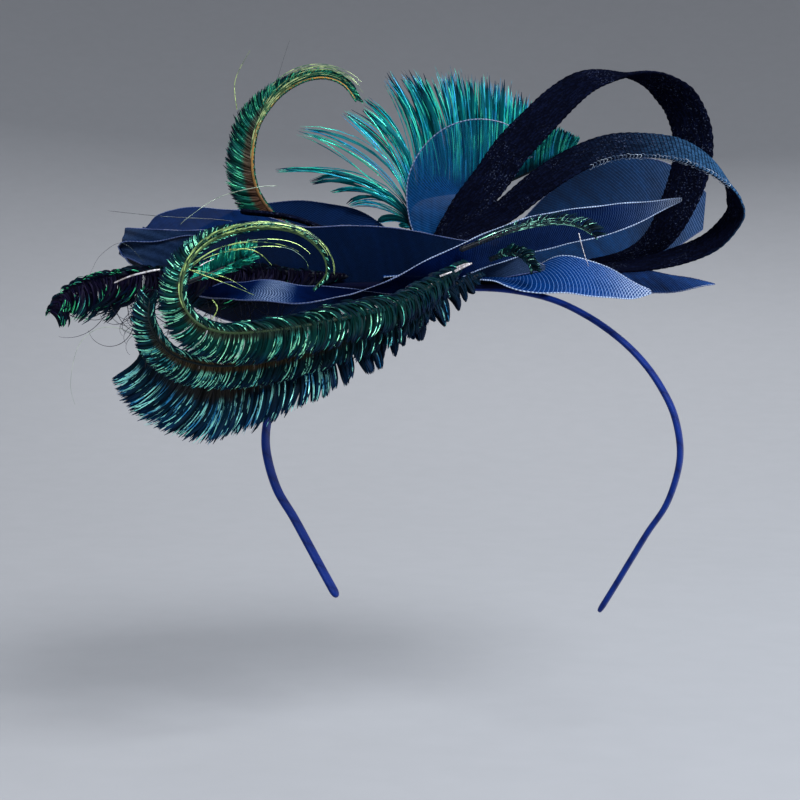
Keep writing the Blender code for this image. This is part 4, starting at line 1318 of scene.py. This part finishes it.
def barb_lines(table, look, rng, inner):
    """Middle lines of a feather's barbs, as (barbs, steps, 3), with each one's normal, length,
    share of the way along the quill, and chance.

    A barb leaves the quill square to it, leant towards the tip, and turns evenly as it goes, so
    it is an arc. Each lock draws its barbs together towards the lock's middle barb. Barbs whose
    chance is high are the bright ones, and lie on the feather's two faces.
    """
    count = look["count"] // 2 if inner else look["count"]
    share = (np.arange(count) + rng.uniform(0.1, 0.9, count)) / count
    places = even_places(table, share)
    length = through(look["inner"], share) if inner else through(table["lock"], places)
    keep = length > SHORTEST_BARB
    share, places, length = share[keep], places[keep], length[keep]
    count = len(share)
    root, ahead, across, normal = frames_at(table, places)
    lock = np.floor(share * look["locks"]).astype(int)
    uneven = through(look["uneven"], share)
    length = length * (1 + look["stray"] * rng.normal(size=count)).clip(*LENGTH_SHARES)
    length = length * (1 + uneven * rng.uniform(-1, 0.4, look["locks"] + 1)[lock])
    lean = through(table["lean"], places) + STRAY_LEAN * look["stray"] * rng.normal(size=count)
    lean = lean + UNEVEN_LEAN * uneven * rng.normal(size=look["locks"] + 1)[lock]
    lean = lean + look["tip_fan"] * np.clip((share - TIP_FAN_FROM) / (1 - TIP_FAN_FROM), 0, 1)
    if inner:
        across, lean = -across, lean * INNER_LEAN_SHARE + INNER_LEAN
    bend = np.radians(through(look["bend"], share) * (1 + BEND_CHANCE * rng.normal(size=count)))
    lean = (np.radians(lean) - bend / 2)[:, None]
    fan = (np.radians(through(look["spread"], share)) * rng.normal(size=count))[:, None]
    flat = across * np.cos(lean) + ahead * np.sin(lean)
    start = unit(flat * np.cos(fan) + normal * np.sin(fan))
    towards = unit(ahead * np.cos(lean) - across * np.sin(lean))

    t = np.linspace(0, 1, BARB_STEPS)[None]
    arc = np.where(np.abs(bend) < 1e-3, 1e-3, bend)[:, None]
    # A bent barb is as much longer as its chord needs to keep the reach.
    length = length * (arc / 2 / np.sin(arc / 2))[:, 0]
    straight = np.sin(arc * t) / arc
    sideways = (1 - np.cos(arc * t)) / arc
    lines = root[:, None] + length[:, None, None] * (
        start[:, None] * straight[..., None] + towards[:, None] * sideways[..., None]
    )
    phase = 2 * math.pi * (t * WAVES + rng.uniform(0, 1, (count, 1)))
    wave = WAVE_HEIGHT * length[:, None] * np.sin(phase)
    lines = lines + normal[:, None] * (wave * t)[..., None]
    middle = np.array([np.argmin(np.abs(share * look["locks"] - number - 0.5)) for number in lock])
    pull = through(look["gather"], share)[:, None, None] * (t**1.5)[..., None]
    lines = lines + pull * (lines[middle] - lines)

    chance = rng.uniform(0, 1, count)
    face = rng.choice((-1.0, 1.0), count)
    rise = np.where(chance > look["dark"], BRIGHT_RISE, DARK_RISE)[:, None] * t**0.5
    # Near the root, barbs that hug the quill start on its far side and lie over it.
    hug = (HUG_REACH * through(look["hug"], share) * quill_radius(share))[:, None]
    lines = lines + normal[:, None] * (face[:, None] * (rise + hug * (1 - t) ** 2))[..., None]
    lines = lines - across[:, None] * (hug * (1 - t) ** 4)[..., None]
    return lines, normal, length, share, chance


def barb_parts(table, look, rng, inner):
    """The ribbons of one fringe of barbs, and their barbules. A ribbon narrows to its tip and
    widens where its end is leaf-like."""
    lines, normal, length, share, chance = barb_lines(table, look, rng, inner)
    up = normal[:, None]
    tilt = rng.normal(0, RIBBON_TILT, len(lines))[:, None, None]
    facing = unit(up + tilt * np.cross(unit(np.gradient(lines, axis=1)), up))
    t = np.linspace(0, 1, BARB_STEPS)[None]
    widths = look["width"] * (0.8 + 0.2 * np.sin(math.pi * t)) * (1 - t**8 * 0.85)
    widths = widths * (1 + look["leaf"] * np.exp(-(((t - LEAF_AT) / LEAF_REACH) ** 2)))
    # The darker barbs are the broader ones and fill the ground between the others.
    widths = widths * np.where(chance < look["dark"], DARK_WIDTH, BRIGHT_WIDTH)[:, None]
    rows, faces, axes = ribbons(lines, facing, widths)
    values = {"chance": chance, "share": share, "liveliness": through(look["glint"], share),
              "brown": through(look["brown"], share)}
    shape = rows.shape[:3]
    ribbon = make_part(rows, faces, along=np.broadcast_to(t[..., None], shape),
                       **{key: spread(value, shape) for key, value in values.items()})
    return [ribbon, barbule_part(lines, axes, look["barbule"], values, length, rng)]


def barbule_part(lines, axes, reach, values, length, rng):
    """Barbules: thin pointed triangles set along both sides of each barb, leant to its tip."""
    count, steps = lines.shape[:2]
    each = int(np.clip(np.median(length) * BARBULES_PER_MM, BARBULES_LEAST, BARBULES_MOST))
    t = (np.arange(each) + rng.uniform(0, 1, (count, 2, each))) / each * 0.97 + 0.02
    place = t * (steps - 1)
    step = np.minimum(place.astype(int), steps - 2)
    part = (place - step)[..., None]
    barb = np.arange(count)[:, None, None]

    def read(table):
        """The table's rows of the steps before and after, mixed."""
        return table[barb, step] * (1 - part) + table[barb, step + 1] * part

    root, (forward, sideways, up) = read(lines), (read(axis) for axis in axes)
    sign = np.array([1.0, -1.0])[None, :, None, None]
    lean = np.radians(rng.normal(*BARBULE_LEAN, t.shape))[..., None]
    lift = rng.normal(0, BARBULE_LIFT, t.shape)[..., None]
    size = reach * np.sin(math.pi * np.clip(t * 0.9 + 0.08, 0, 1)) ** 0.6
    size = (size * rng.uniform(0.6, 1.15, t.shape))[..., None]
    tip = root + size * unit(sign * sideways * np.cos(lean) + forward * np.sin(lean) + up * lift)
    foot = forward * BARBULE_HALF_ROOT
    points = np.stack([root - foot, root + foot, tip], axis=-2)
    shape = points.shape[:-1]
    return make_part(points, [np.arange(np.prod(shape)).reshape(-1, 3)],
                     along=np.broadcast_to(t[..., None], shape),
                     **{key: spread(value, shape) for key, value in values.items()})


def add_feather(name):
    """A feather: a tapering quill, barbs as fine folded ribbons edged with barbules, and its bare
    filaments."""
    table, look = PLUMES[name], BARBS_USUAL | BARBS[name]
    rng = np.random.default_rng(sum(map(ord, name)))
    run = np.linspace(0, 1, QUILL_STATIONS)
    points, _, _, normal = frames_at(table, even_places(table, run))
    part = tubes(points[None], quill_radius(run)[None], normal[None], sides=10)
    add_piece(name + "_quill", part, QUILLS.get(name, QUILLS["dark"]), name, "feather_green")

    parts = barb_parts(table, look, rng, inner=False)
    if max(look["inner"]) > 0:
        parts = parts + barb_parts(table, look, rng, inner=True)
    barbs = barb_material(name + "_iridescence", BARB_COLOURS[name], look)
    add_piece(name + "_barbs", joined(parts), barbs, name, "feather_green")
    if name in STRANDS:
        parts = [strand_part(table, row, rng) for row in STRANDS[name]]
        add_piece(name + "_filaments", joined(parts), FILAMENTS[name], name, "feather_green")


def loose_part(lines, facing, widths, rng):
    """Loose filaments as fine folded ribbons, each with a chance of its own."""
    rows, faces, _ = ribbons(lines, facing, widths)
    shape = rows.shape[:3]
    along = np.broadcast_to(np.linspace(0, 1, shape[1])[None, :, None], shape)
    return make_part(rows, faces, along=along,
                     chance=np.broadcast_to(rng.uniform(0, 1, (shape[0], 1, 1)), shape))


def strand_part(table, row, rng):
    """Filaments that leave a quill and then run beside it, easing out to their own distance."""
    count, column = row["count"], (row["count"], 1)
    span = row["end"] - row["start"]
    start = rng.uniform(row["start"], row["start"] + 0.3 * span, count)[:, None]
    end = rng.uniform(row["end"] - 0.25 * span, row["end"], count)[:, None]
    t = np.linspace(0, 1, STRAND_STEPS)[None]
    points, _, across, normal = frames_at(table, even_places(table, start + (end - start) * t))
    phase = 2 * math.pi * (t + rng.uniform(0, 1, column))
    ease = (1 - np.exp(-STRAND_EASE * t)) * (1 + STRAND_SWAY * np.sin(phase))
    even = (np.arange(count)[:, None] + rng.uniform(0.2, 0.8, column)) / count
    off = (row["off"][0] + (row["off"][1] - row["off"][0]) * even) * ease
    lift = rng.uniform(*row["lift"], column) * ease
    lines = points + across * off[..., None] + normal * lift[..., None]
    tilt = rng.normal(0, RIBBON_TILT, count)[:, None, None]
    facing = unit(normal + tilt * np.cross(unit(np.gradient(lines, axis=1)), normal))
    widths = row["width"] * (1 - STRAND_TAPER * t**3) * rng.uniform(*WIDTH_SHARES, column)
    return loose_part(lines, facing, widths, rng)


def add_tendrils(name):
    """Dark loose barbs that curl more and more towards their ends."""
    table, row = PLUMES[name], TENDRILS[name]
    rng = np.random.default_rng(len(name))
    count, column = row["count"], (row["count"], 1)
    share = rng.uniform(*row["reach"], count)
    root, ahead, across, normal = (
        axis[:, None] for axis in frames_at(table, even_places(table, share)))
    t = np.linspace(0, 1, TENDRIL_STEPS)[None]
    turn = rng.choice((-1.0, 1.0), count) * rng.uniform(*row["turn"], count)
    leave = rng.uniform(*row["leave"], count)[:, None]
    angle = np.radians(leave + turn[:, None] * t**TENDRIL_TIGHTENING)
    pace = rng.uniform(*row["length"], count)[:, None, None] / TENDRIL_STEPS
    step = across * np.cos(angle)[..., None] + ahead * np.sin(angle)[..., None]
    lines = root + np.cumsum(step * pace, axis=1)
    drift = rng.uniform(-TENDRIL_DRIFT, TENDRIL_DRIFT, column) * t
    lines = lines + normal * drift[..., None]
    widths = row["width"] * (1 - TENDRIL_TAPER * t**2) * rng.uniform(*WIDTH_SHARES, column)
    part = loose_part(lines, np.broadcast_to(normal, lines.shape), widths, rng)
    add_piece(name + "_tendrils", part, TENDRIL, name, "feather_green")


def add_strays():
    """Loose hairs, threads and cut quill ends: thin tubes along smooth lines. Thick ones taper
    less."""
    run = np.linspace(0, 1, STRAY_STATIONS)
    for name, row in STRAYS.items():
        line = line_at(row, run)[None]
        facing = np.broadcast_to(np.array([0.3, 1.0, 0.2]), line.shape)
        taper = STRAY_TAPERS[0] if row["thick"] > STRAY_THICK else STRAY_TAPERS[1]
        part = tubes(line, (row["thick"] / 2 * (1 - taper * run))[None], facing, sides=8)
        part["values"]["chance"] = np.full(part["points"].shape[:3], (len(name) * 37 % 100) / 100)
        add_piece(name, part, FILAMENTS[row["finish"]], slot="feather_green")


# Stage


def add_floor():
    """A pale floor that rises smoothly to its rim as a shallow bowl: its height grows with the
    square of the way out from the flat."""
    out = np.concatenate([np.linspace(0.02, FLOOR_FLAT, 12),
                          np.linspace(FLOOR_FLAT, FLOOR_RIM, 90)[1:]])
    share = np.clip((out - FLOOR_FLAT) / (FLOOR_RIM - FLOOR_FLAT), 0, 1)
    spokes, out = circle(FLOOR_SIDES), out[:, None]
    high = spread(FLOOR_LEVEL + FLOOR_RISE * share**2, (len(out), FLOOR_SIDES))
    points = np.stack([out * np.cos(spokes), out * np.sin(spokes), high], axis=-1) / MM
    made, tree, shader = new_material("pale_floor", Roughness=0.85)
    fibre = grain(tree, 60.0, 3.0, 0.12)
    wire(tree, shader, {"Base Color": shaded(tree, shade_of("floor"), fibre["Shade"])})
    part = make_part(points, [grid(len(out), FLOOR_SIDES, wrap=True)[:, ::-1],
                              np.arange(FLOOR_SIDES)[None]])
    floor = add_piece("floor", part, made, turned=False)


def add_light(name, place, size, power, tint):
    """A square soft light that faces the part's origin."""
    lamp = bpy.data.lights.new(name, "AREA")
    lamp.size = size
    lamp.energy = power
    lamp.color = tint
    light = bpy.data.objects.new(name, lamp)
    bpy.context.scene.collection.objects.link(light)
    light.location = place
    light.rotation_euler = (-Vector(place)).to_track_quat("-Z", "Y").to_euler()


def add_surround():
    """A pale even surround, and plain display colours."""
    world = bpy.data.worlds.new("surround")
    world.use_nodes = True
    background = world.node_tree.nodes["Background"]
    background.inputs[0].default_value = SURROUND
    background.inputs[1].default_value = SURROUND_STRENGTH
    bpy.context.scene.world = world
    bpy.context.scene.view_settings.view_transform = "Standard"


def add_camera():
    """The camera at the photograph's angle: back from its aim, up and to the wearer's left."""
    lens = bpy.data.cameras.new("camera")
    lens.sensor_width = 36
    lens.lens = CAMERA_LENS
    lens.clip_start, lens.clip_end = 0.01, 50
    camera = bpy.data.objects.new("camera", lens)
    bpy.context.scene.collection.objects.link(camera)
    azimuth, elevation = math.radians(CAMERA_AZIMUTH), math.radians(CAMERA_ELEVATION)
    back = Vector((math.sin(azimuth) * math.cos(elevation),
                   -math.cos(azimuth) * math.cos(elevation), math.sin(elevation)))
    camera.location = Vector(CAMERA_AIM) + back * CAMERA_DISTANCE
    camera.rotation_euler = (-back).to_track_quat("-Z", "Y").to_euler()
    bpy.context.scene.camera = camera


CRIN_EDGE = crin_edge_material()
BRAID = braid_material()
QUILLS = {name: quill_material("quill_" + name, *ends) for name, ends in QUILL_SHADES.items()}
FILAMENTS = {
    name: filament_material("filament_" + name, *pair) for name, pair in FILAMENT_SHADES.items()
}
TENDRIL = FILAMENTS["tendril"]
SELVAGE_THREAD = FILAMENTS["selvage"]

add_headband()
add_base()
for sheet_name in SHEETS:
    add_sheet(sheet_name)
for braid_name in BRAIDS:
    add_braid(braid_name)
for plume_name in PLUMES:
    add_feather(plume_name)
for plume_name in TENDRILS:
    add_tendrils(plume_name)
add_selvage()
add_strays()
add_floor()
for light_name, light in LIGHTS.items():
    add_light(light_name, **light)
add_surround()
add_camera()
